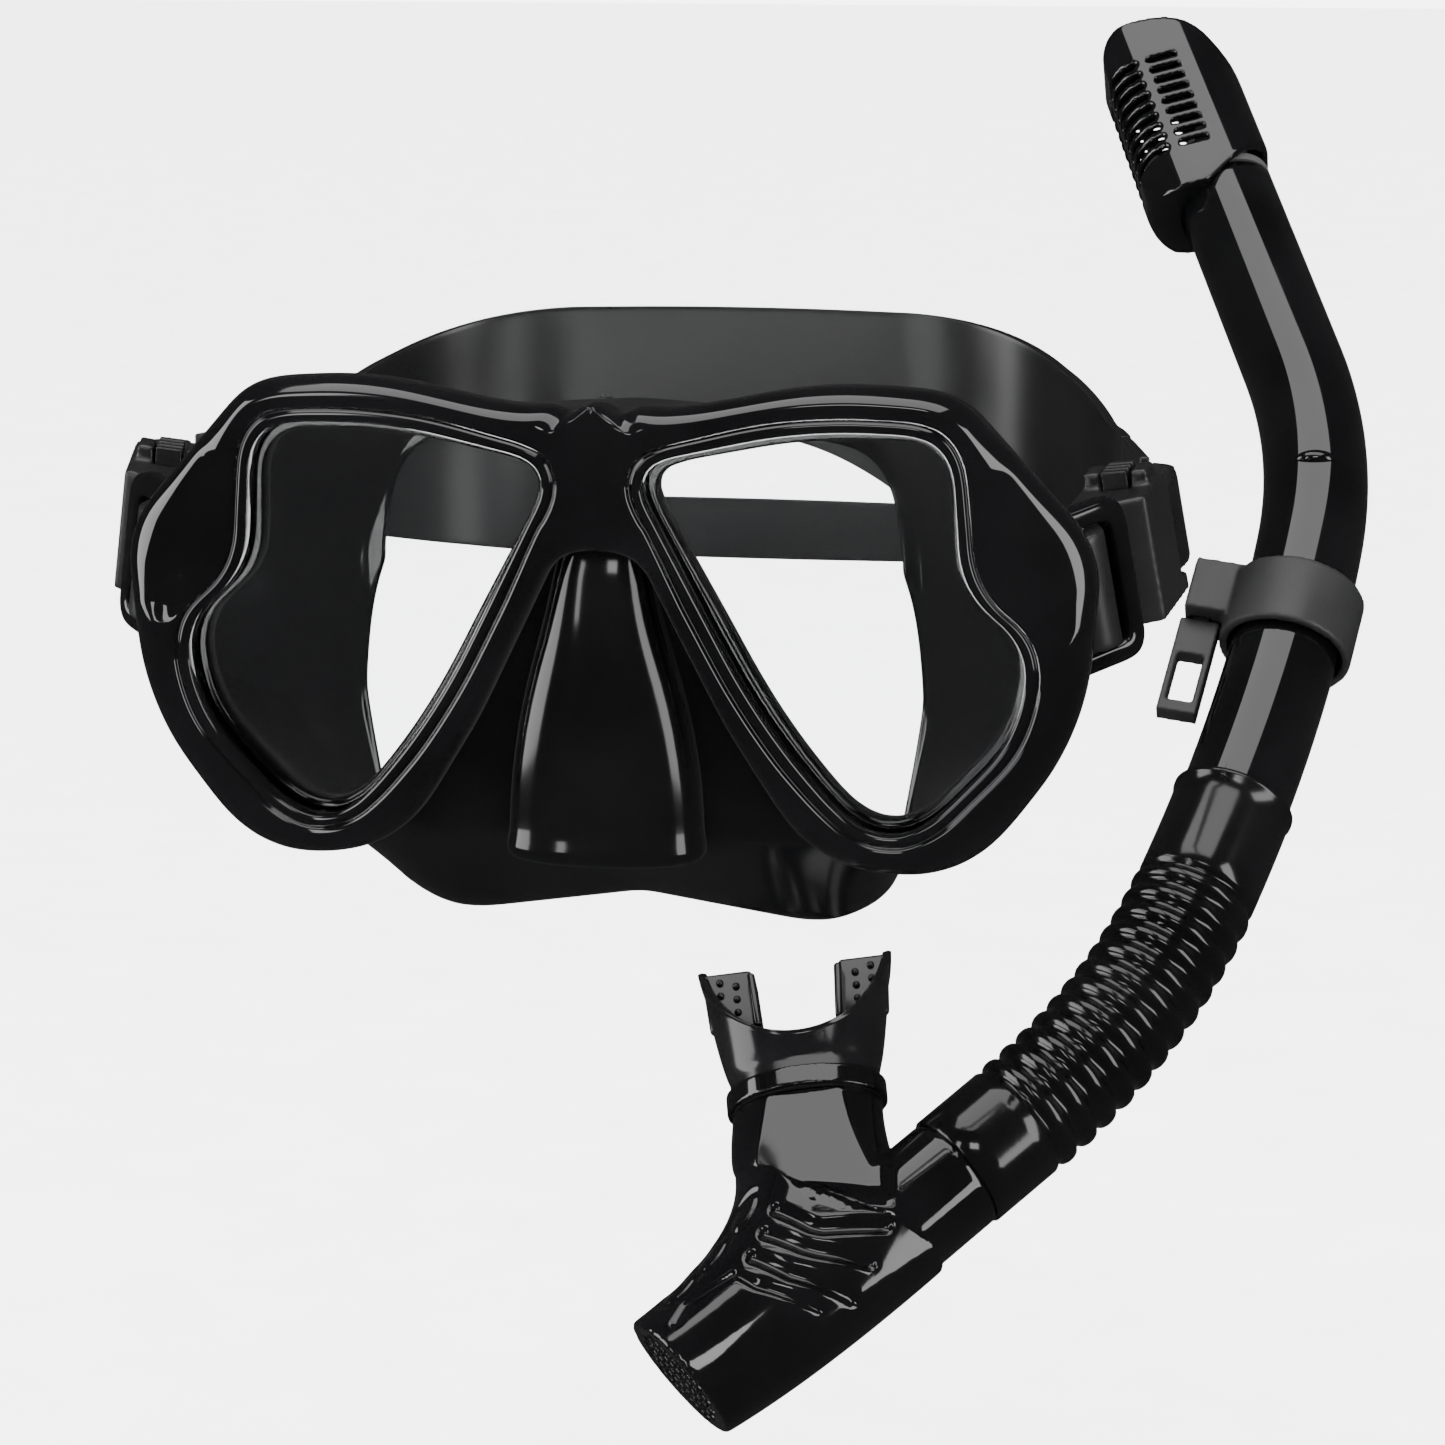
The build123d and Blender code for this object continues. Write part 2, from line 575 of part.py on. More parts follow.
def flex_hose():
    """Ribbed silicone hose with a cuff at each end."""
    hose = ring_sweep(hose_arc, HOSE_OUT, HOSE_BORE)
    pitch = hose_arc.length / RIB_COUNT
    for rib in range(RIB_COUNT):
        share = (rib + 0.5) / RIB_COUNT
        ring = Cylinder(RIB_OUT, pitch * RIB_SHARE) - Cylinder(HOSE_OUT - 0.5, pitch)
        hose += across(hose_arc @ share, hose_arc % share).location * ring
    lower = barrel(-LOWER_CUFF, 0, CUFF_OUT) - barrel(-LOWER_CUFF - 1, -CUFF_FLOOR, SPIGOT_OUT + CUFF_FIT)
    hose += lower - barrel(-CUFF_FLOOR - 1, 1, HOSE_BORE)
    floor = (UPPER_CUFF - TUBE_LAP) / tube_arc.length
    hose += ring_sweep(tube_arc.trim(0, floor), CUFF_OUT, HOSE_BORE)
    sleeve = ring_sweep(tube_arc.trim(floor, UPPER_CUFF / tube_arc.length), CUFF_OUT, TUBE_FOOT + CUFF_FIT)
    return hose + sleeve


def tube_radius(travel):
    """Outer radius of the rigid tube that far above its foot, slimmer towards the top."""
    return TUBE_FOOT + (TUBE_HEAD - TUBE_FOOT) * travel / TUBE_LONG


def tube_form(thinner):
    """Tapered form of the rigid tube."""
    foot = Wire([tube_arc.trim((UPPER_CUFF - TUBE_LAP + CUFF_FIT) / tube_arc.length, 1).edge()])
    rest = Line(neck_arc @ 1, (neck_arc @ 1) + (neck_arc % 1) * (TOP_RUN + TUBE_TOP))
    path = Wire([foot.edge(), neck_arc.edge(), rest.edge()])
    ends = [
        across(path @ 0, path % 0).location * Circle(TUBE_FOOT - thinner).face(),
        across(path @ 1, path % 1).location * Circle(TUBE_HEAD - thinner).face(),
    ]
    return sweep(ends, path, multisection=True)


def upper_tube():
    """Rigid tube from the hose to the dry top, with a small stop bump for the keeper."""
    place = across(neck_arc @ 0.5, neck_arc % 0.5)
    radius = tube_radius(tube_arc.length + neck_arc.length / 2)
    wide, along, proud = STOP_BUMP
    bump = place.location * (Pos(0, radius, 0) * Box(wide, proud, along))
    return tube_form(0) + bump - tube_form(TUBE_WALL)


def keeper_frame():
    """Plane of the keeper: x across the snorkel, y up the tube, z towards the viewer."""
    up = tube_arc % KEEPER_SHARE
    return Plane(tube_arc @ KEEPER_SHARE, x_dir=(up.Y, -up.X, 0), z_dir=(0, 0, 1))


def keeper_ring():
    """Ring round the tube with the block that takes the strap clip."""
    bore = TUBE_FOOT + KEEPER_RUN
    ring = Rot(90, 0, 0) * Cylinder(bore + KEEPER_WALL, KEEPER_HIGH)
    ring += Pos(*KEEPER_BLOCK_AT, 0) * Box(*KEEPER_BLOCK)
    ring -= Rot(90, 0, 0) * Cylinder(bore, 2 * KEEPER_HIGH)
    slot_high = TONGUE[1] + TONGUE_GAP
    foot = KEEPER_BLOCK_AT[1] - KEEPER_BLOCK[1] / 2
    slot = Box(TONGUE[0] + 2 * TONGUE_GAP, 2 * slot_high, TONGUE[2] + 2 * TONGUE_GAP)
    return keeper_frame().location * (ring - Pos(KEEPER_BLOCK_AT[0] - CLIP_OFF, foot, 0) * slot)


def keeper_clip():
    """Loop that holds the head strap, with the tongue that plugs into the block."""
    loop = Box(*CLIP_SIZE) - Pos(0, -CLIP_WINDOW_DROP, 0) * Box(*CLIP_WINDOW, CLIP_SIZE[2] + 2)
    foot = KEEPER_BLOCK_AT[1] - KEEPER_BLOCK[1] / 2
    aside = KEEPER_BLOCK_AT[0] - CLIP_OFF
    loop = Pos(aside, foot - TONGUE_GAP - CLIP_SIZE[1] / 2, 0) * loop
    tongue = Pos(aside, foot - TONGUE_GAP + TONGUE[1] / 2 - 1, 0)
    return keeper_frame().location * (loop + tongue * Box(TONGUE[0], TONGUE[1] + 1, TONGUE[2]))


def oval(section, shrink, shift=0.0):
    """Oval section square to its heading, smaller by shrink and moved along by shift."""
    x, y, angle, wide, deep = section
    direction = heading(angle)
    place = Vector(x, y, 0) + direction * shift
    return across(place, direction).location * Ellipse(wide - shrink, deep - shrink).face()


def boot_form(shrink, lead):
    """Form of the boot from the waist to the grille; lead lengthens it at the waist."""
    return loft([oval(WAIST_OVAL, shrink, -lead), oval(BOOT_OVAL, shrink), oval(GRILLE_OVAL, shrink)])


def beyond(section, back):
    """Everything beyond a section, which is first moved back."""
    x, y, angle, wide, deep = section
    direction = heading(angle)
    place = Vector(x, y, 0) - direction * back
    return across(place, direction).location * (Pos(0, 0, 4 * wide) * Box(8 * wide, 8 * wide, 8 * wide))


def chamber_form(shrink, ahead):
    """Outer or inner form of the chamber: neck, boot, barrel and the two spigots."""
    down = MOUTH_TURN - 90
    inside = shrink + MOUTH_WALL + CUFF_FIT
    top = (*MOUTH_PLACE, down, *MOUTH_NECK)
    neck = loft([
        oval(top, inside if ahead else shrink, CUFF_FIT - MOUTH_FOOT),
        oval(NECK_OVAL, shrink),
        oval(WAIST_OVAL, shrink + CUFF_FIT),
    ])
    boot = boot_form(shrink + COVER_WALL + COVER_GAP, COVER_WALL)
    pipe = barrel(BARREL_START, -LOWER_CUFF - CUFF_FIT, BARREL_OUT - shrink)
    pipe += barrel(BARREL_START, -CUFF_FLOOR - 0.5 + ahead, SPIGOT_OUT - shrink)
    pipe -= beyond(WAIST_OVAL, COVER_GAP - shrink)
    spigot = loft([
        oval(top, inside, -MOUTH_FOOT - SPIGOT_HIGH - ahead), oval(top, inside, MOUTH_WALL - MOUTH_FOOT),
    ])
    return neck + boot + pipe + spigot


def chamber_body():
    """Hollow chamber that joins mouthpiece, hose and purge valve."""
    body = chamber_form(0, 0) - chamber_form(CHAMBER_WALL, CHAMBER_WALL)
    return body - beyond(GRILLE_OVAL, SEAT_AT)


def purge_seat():
    """Ring with crossed spokes that the purge flap lies on."""
    direction = heading(GRILLE_OVAL[2])
    place = Vector(GRILLE_OVAL[0], GRILLE_OVAL[1], 0) - direction * (SEAT_AT - SEAT_THICK / 2)
    hole = Cylinder(SEAT_RADIUS - 1, 4 * SEAT_THICK)
    for turn in (0, 90):
        hole -= Rot(0, 0, turn) * Box(2 * SEAT_RADIUS, SPOKE_WIDE, SEAT_THICK)
    hole += Cylinder(FLAP_STEM + CUFF_FIT, 4 * SEAT_THICK)
    slab = boot_form(COVER_WALL + 2 * COVER_GAP, COVER_WALL) & beyond(GRILLE_OVAL, SEAT_AT)
    return slab - beyond(GRILLE_OVAL, SEAT_AT - SEAT_THICK) - across(place, direction).location * hole


def purge_flap():
    """Silicone mushroom flap with its stem through the seat."""
    direction = heading(GRILLE_OVAL[2])
    place = Vector(GRILLE_OVAL[0], GRILLE_OVAL[1], 0) - direction * (SEAT_AT - SEAT_THICK)
    flap = Pos(0, 0, FLAP_REST + FLAP_THICK / 2) * Cylinder(FLAP_RADIUS, FLAP_THICK)
    flap += Pos(0, 0, -SEAT_THICK) * Cylinder(FLAP_STEM, 2 * SEAT_THICK + 1)
    return across(place, direction).location * flap


def purge_cover():
    """Boot-shaped cover over the purge valve, with the slots of the grille."""
    cover = boot_form(0, 0) - (boot_form(COVER_WALL, COVER_WALL) - beyond(GRILLE_OVAL, COVER_WALL))
    direction = heading(GRILLE_OVAL[2])
    face = across(Vector(GRILLE_OVAL[0], GRILLE_OVAL[1], 0), direction).location
    pitch = 2 * (GRILLE_OVAL[4] - 2 * COVER_WALL) / GRILLE_SLOTS
    for row in range(GRILLE_SLOTS):
        high = (row - (GRILLE_SLOTS - 1) / 2) * pitch
        wide = GRILLE_OVAL[3] * (1 - (high / GRILLE_OVAL[4]) ** 2) ** 0.5 - 2.5 * COVER_WALL
        cover -= face * (Pos(0, high, 0) * Box(2 * wide, GRILLE_SLOT_WIDE, 6 * COVER_WALL))
    return cover


def mouth_plane():
    """Plane of the mouthpiece: y towards the mouth, x across it."""
    turn = radians(MOUTH_TURN)
    return Plane(MOUTH_PLACE, x_dir=(cos(turn), sin(turn), 0), z_dir=(0, 0, 1))


def mouth_oval(size, high, shrink):
    """Oval section of the mouthpiece at a height."""
    return Pos(0, high, 0) * Rot(-90, 0, 0) * Ellipse(size[0] - shrink, size[1] - shrink).face()


def mouth_form(shrink, ahead):
    """Flared form of the mouthpiece from its neck to its lips."""
    waist = mouth_oval(MOUTH_NECK, MOUTH_WAIST, shrink)
    neck = loft([mouth_oval(MOUTH_NECK, MOUTH_FOOT - ahead, shrink), waist])
    return neck + loft([waist, mouth_oval(MOUTH_OPEN, MOUTH_TOP + ahead, shrink)])


def mouthpiece():
    """Silicone mouthpiece: neck, scooped lip shield and two bite lugs."""
    body = mouth_form(0, 0) - mouth_form(MOUTH_WALL, 1)
    scoop = extrude(Ellipse(MOUTH_OPEN[0] - MOUTH_WALL / 2, MOUTH_SCOOP).face(), REACH, both=True)
    body -= Pos(0, MOUTH_TOP, 0) * scoop
    side = MOUTH_OPEN[0] - MOUTH_WALL
    high = MOUTH_TOP - LUG_PLATE[1] / 2
    for hand in (1, -1):
        lug = Pos(hand * (side - LUG_PLATE[0] / 2), high, 0) * Box(*LUG_PLATE)
        lug += Pos(hand * (side - LUG_PLATE[0]), high, 0) * Box(*LUG_RIDGE)
        lug += Pos(hand * side, high, 0) * Box(LUG_LINK, LUG_PLATE[1], LUG_PLATE[2])
        body += lug & mouth_form(0, 0)
    return mouth_plane().location * body


def mouth_clamp():
    """Band that ties the mouthpiece to the chamber's neck."""
    outer = Ellipse(MOUTH_NECK[0] + CLAMP_THICK, MOUTH_NECK[1] + CLAMP_THICK)
    band = extrude(outer - Ellipse(*MOUTH_NECK), CLAMP_HIGH)
    return mouth_plane().location * (Pos(0, MOUTH_FOOT, 0) * Rot(-90, 0, 0) * band)


def top_plane():
    """Plane of the dry top: y up the tube, x across it."""
    up = heading(TOP_HEADING)
    return Plane(TOP_POINT, x_dir=(up.Y, -up.X, 0), z_dir=(0, 0, 1))


def shroud_form(shrink):
    """Form of the dry top: its front outline trimmed by its oval section."""
    front = extrude(corners_face(grown(SHROUD_CORNERS, -shrink)), 2 * SHROUD_DEEP, both=True)
    wide = SHROUD_ACROSS[1] - SHROUD_ACROSS[0] - 2 * shrink
    deep = 2 * (SHROUD_DEEP - shrink)
    section = RectangleRounded(wide, deep, SHROUD_ROUND - shrink)
    column = Rot(-90, 0, 0) * extrude(section, REACH, both=True)
    low, high = SHROUD_ENDS
    side = RectangleRounded(high - low - 2 * shrink, deep, SHROUD_ROUND - shrink)
    side = Pos(0, (low + high) / 2, 0) * Rot(0, 90, 0) * Rot(0, 0, 90) * extrude(side, REACH, both=True)
    return front & (Pos(sum(SHROUD_ACROSS) / 2, 0, 0) * column) & side


def dry_top_shroud():
    """Slotted shroud of the dry top, open where the tube comes in."""
    shroud = shroud_form(0) - shroud_form(SHROUD_WALL)
    shroud -= Rot(90, 0, 0) * Cylinder(TUBE_HEAD + CUFF_FIT, 2 * (TUBE_TOP + 6))
    for row in range(SLOT_ROWS):
        high = SLOT_FIRST + row * SLOT_PITCH
        for side in (1, -1):
            near = Box(SLOT_NEAR[1] - SLOT_NEAR[0], SLOT_HIGH, SHROUD_DEEP)
            shroud -= Pos(sum(SLOT_NEAR) / 2, high, side * (SHROUD_DEEP / 2 + SLOT_FLOOR)) * near
            far = Box(SLOT_FAR[1] - SLOT_FAR[0], SLOT_HIGH, SHROUD_DEEP)
            shroud -= Pos(sum(SLOT_FAR) / 2, high, side * (SHROUD_DEEP / 2 + SLOT_SPINE)) * far
    return top_plane().location * shroud


def valve_seat():
    """Rim on top of the tube that the dry valve closes on."""
    ring = Cylinder(TUBE_HEAD, VALVE_SEAT_THICK) - Cylinder(TUBE_HEAD - TUBE_WALL, VALVE_SEAT_THICK * 2)
    return top_plane().location * (Pos(0, TUBE_TOP + VALVE_SEAT_THICK / 2, 0) * Rot(90, 0, 0) * ring)


def valve_pin():
    """Hinge pin of the dry valve."""
    return top_plane().location * (Pos(*VALVE_PIN_AT, 0) * Cylinder(VALVE_PIN_RADIUS, 2 * FLOAT_SIZE[2]))


def valve_flap():
    """Dry valve flap, standing open on its hinge."""
    radius, thick = VALVE_FLAP
    flap = Pos(radius + 2 * VALVE_PIN_RADIUS, 0, 0) * Rot(90, 0, 0) * Cylinder(radius, thick)
    arm = Pos(radius / 2, 0, 0) * Box(radius, thick, 5)
    knuckle = Cylinder(2 * VALVE_PIN_RADIUS, 6) - Cylinder(VALVE_PIN_RADIUS + PIN_RUN, 12)
    arm -= Cylinder(1.5 * VALVE_PIN_RADIUS, 12)
    place = Pos(*VALVE_PIN_AT, 0) * Rot(0, 0, VALVE_OPEN)
    return top_plane().location * (place * (flap + arm + knuckle))


def dry_float():
    """Float beside the tube that lifts and shuts the flap under water."""
    return top_plane().location * (Pos(*FLOAT_AT, 0) * Box(*FLOAT_SIZE))


def snorkel_nodes():
    """Every piece of the snorkel, by name."""
    place = snorkel_plane().location
    makers = (
        flex_hose, upper_tube, keeper_ring, keeper_clip, chamber_body, purge_seat, purge_flap,
        purge_cover, mouthpiece, mouth_clamp, dry_top_shroud, valve_seat, valve_pin, valve_flap, dry_float,
    )
    return {maker.__name__: place * maker() for maker in makers}


os.makedirs("parts", exist_ok=True)
for name, shape in {**mask_nodes(), **snorkel_nodes()}.items():
    export_step(shape, f"parts/{name}.step")
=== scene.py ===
"""Looks of the dive mask and its dry-top snorkel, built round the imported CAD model.

Sizes are in millimetres unless a name says otherwise; MM turns them into metres.
"""
import logging
import math
from dataclasses import dataclass, field
from enum import Enum

import bmesh
import bpy
import numpy as np
from mathutils import Matrix, Vector


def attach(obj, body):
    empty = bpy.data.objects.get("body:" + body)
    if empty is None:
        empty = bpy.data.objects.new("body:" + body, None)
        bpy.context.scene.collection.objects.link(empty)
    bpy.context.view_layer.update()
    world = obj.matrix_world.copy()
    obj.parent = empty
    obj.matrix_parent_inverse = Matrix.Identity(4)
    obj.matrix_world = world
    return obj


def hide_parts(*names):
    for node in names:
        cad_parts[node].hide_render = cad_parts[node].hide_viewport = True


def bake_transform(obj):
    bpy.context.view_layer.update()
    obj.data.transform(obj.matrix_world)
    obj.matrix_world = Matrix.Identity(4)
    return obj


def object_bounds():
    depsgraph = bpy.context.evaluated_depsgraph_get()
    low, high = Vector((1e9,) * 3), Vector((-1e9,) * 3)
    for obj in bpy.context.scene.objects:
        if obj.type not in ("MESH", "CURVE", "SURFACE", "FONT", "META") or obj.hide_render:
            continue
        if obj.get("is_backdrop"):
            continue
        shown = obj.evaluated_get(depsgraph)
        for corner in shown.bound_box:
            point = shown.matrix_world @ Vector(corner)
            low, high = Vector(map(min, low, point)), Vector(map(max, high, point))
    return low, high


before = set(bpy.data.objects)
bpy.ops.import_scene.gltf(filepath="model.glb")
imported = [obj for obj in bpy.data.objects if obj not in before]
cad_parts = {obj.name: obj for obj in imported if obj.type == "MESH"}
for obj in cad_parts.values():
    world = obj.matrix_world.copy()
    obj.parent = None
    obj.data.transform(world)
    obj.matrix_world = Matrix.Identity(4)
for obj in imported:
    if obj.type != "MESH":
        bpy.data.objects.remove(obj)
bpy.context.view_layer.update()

MM = 0.001
CORNER_STEPS = 8
OUTLINE_GAP = 0.25
MOST_OF_SIDE = 0.47
ON_MIDDLE = 1e-6
HALVES_JOIN = 0.02
LOG = logging.getLogger("dive_mask")


# ---------------------------------------------------------------------------
# Finishes
# ---------------------------------------------------------------------------
class Grain(Enum):
    """Scale of a surface's fine structure, as noise scale on object coordinates."""

    POLISHED = 260.0
    SILICONE = 700.0
    SPARK = 2600.0


def added(nodes: bpy.types.Nodes, kind: str, values: dict[str, object]) -> bpy.types.Node:
    """Adds a shader node with values on its inputs.

    Args:
        nodes: The node tree's nodes.
        kind: Type of the node.
        values: Value of each named input.

    Returns:
        The node.
    """
    made = nodes.new(kind)
    for name, value in values.items():
        made.inputs[name].default_value = value
    return made


@dataclass(frozen=True)
class Finish:
    """A procedural finish: two close colours, a band of roughness and a fine bump.

    Attributes:
        name: Name of the material.
        dark: Darker colour, linear.
        light: Lighter colour, linear.
        smooth: Lowest roughness.
        rough: Highest roughness.
        grain: Scale of the fine bump.
        bump: Strength of the fine bump.
        metallic: Metalness.
        ior: Index of refraction.
    """

    name: str
    dark: tuple[float, float, float] = (0.0008, 0.0008, 0.0009)
    light: tuple[float, float, float] = (0.0018, 0.0018, 0.002)
    smooth: float = 0.03
    rough: float = 0.09
    grain: Grain = Grain.POLISHED
    bump: float = 0.01
    metallic: float = 0.0
    ior: float = 1.5

    def material(self) -> bpy.types.Material:
        """Makes the material, or gives the one already made.

        Returns:
            The material of this finish.
        """
        found = bpy.data.materials.get(self.name)
        if found:
            return found
        made = bpy.data.materials.new(self.name)
        made.use_nodes = True
        nodes, links = made.node_tree.nodes, made.node_tree.links
        shader = nodes["Principled BSDF"]
        shader.inputs["Metallic"].default_value = self.metallic
        shader.inputs["IOR"].default_value = self.ior
        place = nodes.new("ShaderNodeTexCoord")
        cloud = added(nodes, "ShaderNodeTexNoise", {"Scale": 38.0, "Detail": 5.0})
        fine = added(nodes, "ShaderNodeTexNoise", {"Scale": self.grain.value, "Detail": 3.0})
        colour = nodes.new("ShaderNodeValToRGB")
        for stop, at, shade in zip(colour.color_ramp.elements, (0.3, 0.7), (self.dark, self.light)):
            stop.position = at
            stop.color = (*shade, 1.0)
        sheen = added(nodes, "ShaderNodeMapRange", {
            "From Min": 0.3, "From Max": 0.7, "To Min": self.smooth, "To Max": self.rough,
        })
        relief = added(nodes, "ShaderNodeBump", {"Strength": self.bump, "Distance": 0.0002})
        for source, target in (
            (place.outputs["Object"], cloud.inputs["Vector"]),
            (place.outputs["Object"], fine.inputs["Vector"]),
            (cloud.outputs["Fac"], colour.inputs["Fac"]),
            (cloud.outputs["Fac"], sheen.inputs["Value"]),
            (fine.outputs["Fac"], relief.inputs["Height"]),
            (colour.outputs["Color"], shader.inputs["Base Color"]),
            (sheen.outputs["Result"], shader.inputs["Roughness"]),
            (relief.outputs["Normal"], shader.inputs["Normal"]),
        ):
            links.new(source, target)
        return made


@dataclass(frozen=True)
class ClearGlass(Finish):
    """Tempered lens glass."""

    transmission: float = 1.0

    def material(self) -> bpy.types.Material:
        """Makes the glass, or gives the one already made.

        Returns:
            The material of the glass.
        """
        made = super().material()
        shader = made.node_tree.nodes["Principled BSDF"]
        shader.inputs["Transmission Weight"].default_value = self.transmission
        return made


PIANO_BLACK = Finish("piano_black_polycarbonate")
TUBE_BLACK = Finish("tube_black_pvc", smooth=0.025, rough=0.08)
COVER_BLACK = Finish("cover_black_gloss", smooth=0.04, rough=0.1)
SKIRT_SILICONE = Finish(
    "skirt_black_silicone", smooth=0.1, rough=0.14, grain=Grain.SILICONE, bump=0.005, ior=1.43,
)
STRAP_SILICONE = Finish(
    "strap_satin_silicone", dark=(0.0022, 0.0022, 0.0024), light=(0.0036, 0.0036, 0.0038),
    smooth=0.27, rough=0.3, grain=Grain.SILICONE, bump=0.01, ior=1.46,
)
HOSE_SILICONE = Finish(
    "hose_gloss_silicone", smooth=0.08, rough=0.18, grain=Grain.SILICONE, bump=0.03, ior=1.45,
)
BITE_SILICONE = Finish(
    "bite_silicone", dark=(0.002, 0.002, 0.0022), light=(0.004, 0.004, 0.0043),
    smooth=0.1, rough=0.2, grain=Grain.SILICONE, bump=0.02, ior=1.43,
)
VALVE_SILICONE = Finish("valve_silicone", smooth=0.25, rough=0.4, grain=Grain.SILICONE, bump=0.05)
BUCKLE_MATTE = Finish(
    "buckle_matte_nylon", dark=(0.0035, 0.0035, 0.0037), light=(0.006, 0.006, 0.0063),
    smooth=0.32, rough=0.46, grain=Grain.SPARK, bump=0.16,
)
KEEPER_MATTE = Finish(
    "keeper_matte_nylon", dark=(0.006, 0.006, 0.0063), light=(0.009, 0.009, 0.0094),
    smooth=0.42, rough=0.58, grain=Grain.SPARK, bump=0.2,
)
PIN_STEEL = Finish(
    "pin_steel", dark=(0.42, 0.42, 0.43), light=(0.6, 0.6, 0.61), smooth=0.2, rough=0.34,
    grain=Grain.SPARK, bump=0.1, metallic=1.0,
)
LENS_GLASS = ClearGlass(
    "tempered_lens_glass", dark=(0.96, 0.98, 0.98), light=(0.98, 0.99, 0.99),
    smooth=0.0, rough=0.004, bump=0.0, ior=1.1,
)


# ---------------------------------------------------------------------------
# Mesh helpers
# ---------------------------------------------------------------------------
def loop(mesh: bmesh.types.BMesh, ring: list[bmesh.types.BMVert]) -> list[bmesh.types.BMEdge]:
    """Edges round a ring of vertices, in order."""
    return [mesh.edges.get(pair) for pair in zip(ring, ring[1:] + ring[:1])]


def lofted(rings: list[list[Vector]], closed: bool = True) -> bmesh.types.BMesh:
    """Skins rings of points into one surface.

    Args:
        rings: The rings in metres, all in the same order and as long as each other.
        closed: Whether the last ring is joined to the first.

    Returns:
        The surface.
    """
    mesh = bmesh.new()
    first = newest = bmesh.ops.create_circle(mesh, segments=len(rings[0]), radius=1.0)["verts"]
    for i, points in enumerate(rings):
        if i:
            made = bmesh.ops.extrude_edge_only(mesh, edges=loop(mesh, newest))
            fresh = {v for v in made["geom"] if isinstance(v, bmesh.types.BMVert)}
            newest = [next(e.other_vert(v) for e in v.link_edges if e.other_vert(v) in fresh) for v in newest]
        for vert, point in zip(newest, points):
            vert.co = point
    if closed:
        bmesh.ops.bridge_loops(mesh, edges=loop(mesh, first) + loop(mesh, newest))
    return mesh


def mirrored(mesh: bmesh.types.BMesh, join: float = 0.0) -> bmesh.types.BMesh:
    """Adds the other half of a mesh across the middle.

    Args:
        mesh: The half on the +X side.
        join: Distance within which the halves are joined, in millimetres.

    Returns:
        The same mesh, whole.
    """
    geometry = mesh.verts[:] + mesh.edges[:] + mesh.faces[:]
    bmesh.ops.mirror(mesh, geom=geometry, axis="X", merge_dist=join * MM)
    return mesh


def open_middle(mesh: bmesh.types.BMesh) -> None:
    """Deletes the faces that lie on the middle plane."""
    inside = [f for f in mesh.faces if all(abs(v.co.x) < ON_MIDDLE for v in f.verts)]
    bmesh.ops.delete(mesh, geom=inside, context="FACES")


def coated(piece: bpy.types.Object, finish: Finish) -> bpy.types.Object:
    """Shades a piece smooth and gives it its finish.

    Args:
        piece: The piece.
        finish: Its finish.

    Returns:
        The same piece.
    """
    piece.data.polygons.foreach_set("use_smooth", [True] * len(piece.data.polygons))
    piece.data.materials.clear()
    piece.data.materials.append(finish.material())
    return piece


def in_scene(name: str, data: bpy.types.ID) -> bpy.types.Object:
    """Links data to the scene as a new object."""
    made = bpy.data.objects.new(name, data)
    bpy.context.scene.collection.objects.link(made)
    return made


def as_object(mesh: bmesh.types.BMesh, name: str) -> bpy.types.Object:
    """Puts a bmesh into a new object in the scene and frees it.

    Args:
        mesh: The bmesh.
        name: Name of the object.

    Returns:
        The object.
    """
    data = bpy.data.meshes.new(name)
    mesh.to_mesh(data)
    mesh.free()
    return in_scene(name, data)


def shown(
    mesh: bmesh.types.BMesh, name: str, finish: Finish, levels: int = 0, outward: bool = True
) -> bpy.types.Object:
    """Turns a bmesh into a smooth-shaded object.

    Args:
        mesh: The bmesh, freed afterwards.
        name: Name of the object.
        finish: Its finish.
        levels: Levels of subdivision surface, applied.
        outward: Whether the faces are turned outwards first.

    Returns:
        The object, linked to the scene.
    """
    bmesh.ops.remove_doubles(mesh, verts=mesh.verts, dist=0.01 * MM)
    if outward:
        bmesh.ops.recalc_face_normals(mesh, faces=mesh.faces)
    made = as_object(mesh, name)
    if levels:
        smooth = made.modifiers.new("smooth", "SUBSURF")
        smooth.levels = smooth.render_levels = levels
        bake(made)
    return coated(made, finish)


def bake(piece: bpy.types.Object) -> None:
    """Replaces a piece's mesh by its modifiers' result."""
    seen = piece.evaluated_get(bpy.context.evaluated_depsgraph_get())
    fresh = bpy.data.meshes.new_from_object(seen)
    piece.modifiers.clear()
    piece.data = fresh


def softened(
    nodes: tuple[str, ...], name: str, finish: Finish, voxel: float, rounds: int
) -> bpy.types.Object:
    """Copies CAD nodes as one moulded skin with rounded edges.

    Args:
        nodes: The CAD nodes to copy.
        name: Name of the new piece.
        finish: Its finish.
        voxel: Voxel size of the skin, in millimetres.
        rounds: Rounds of smoothing.

    Returns:
        The new piece.
    """
    mesh = bmesh.new()
    for node in nodes:
        mesh.from_mesh(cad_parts[node].data)
    bmesh.ops.remove_doubles(mesh, verts=mesh.verts, dist=0.005 * MM)
    piece = shown(mesh, name, finish, outward=False)
    skin = piece.modifiers.new("skin", "REMESH")
    skin.mode = "VOXEL"
    skin.voxel_size = voxel * MM
    bake(piece)
    relax(piece, rounds)
    piece.data.polygons.foreach_set("use_smooth", [True] * len(piece.data.polygons))
    return piece


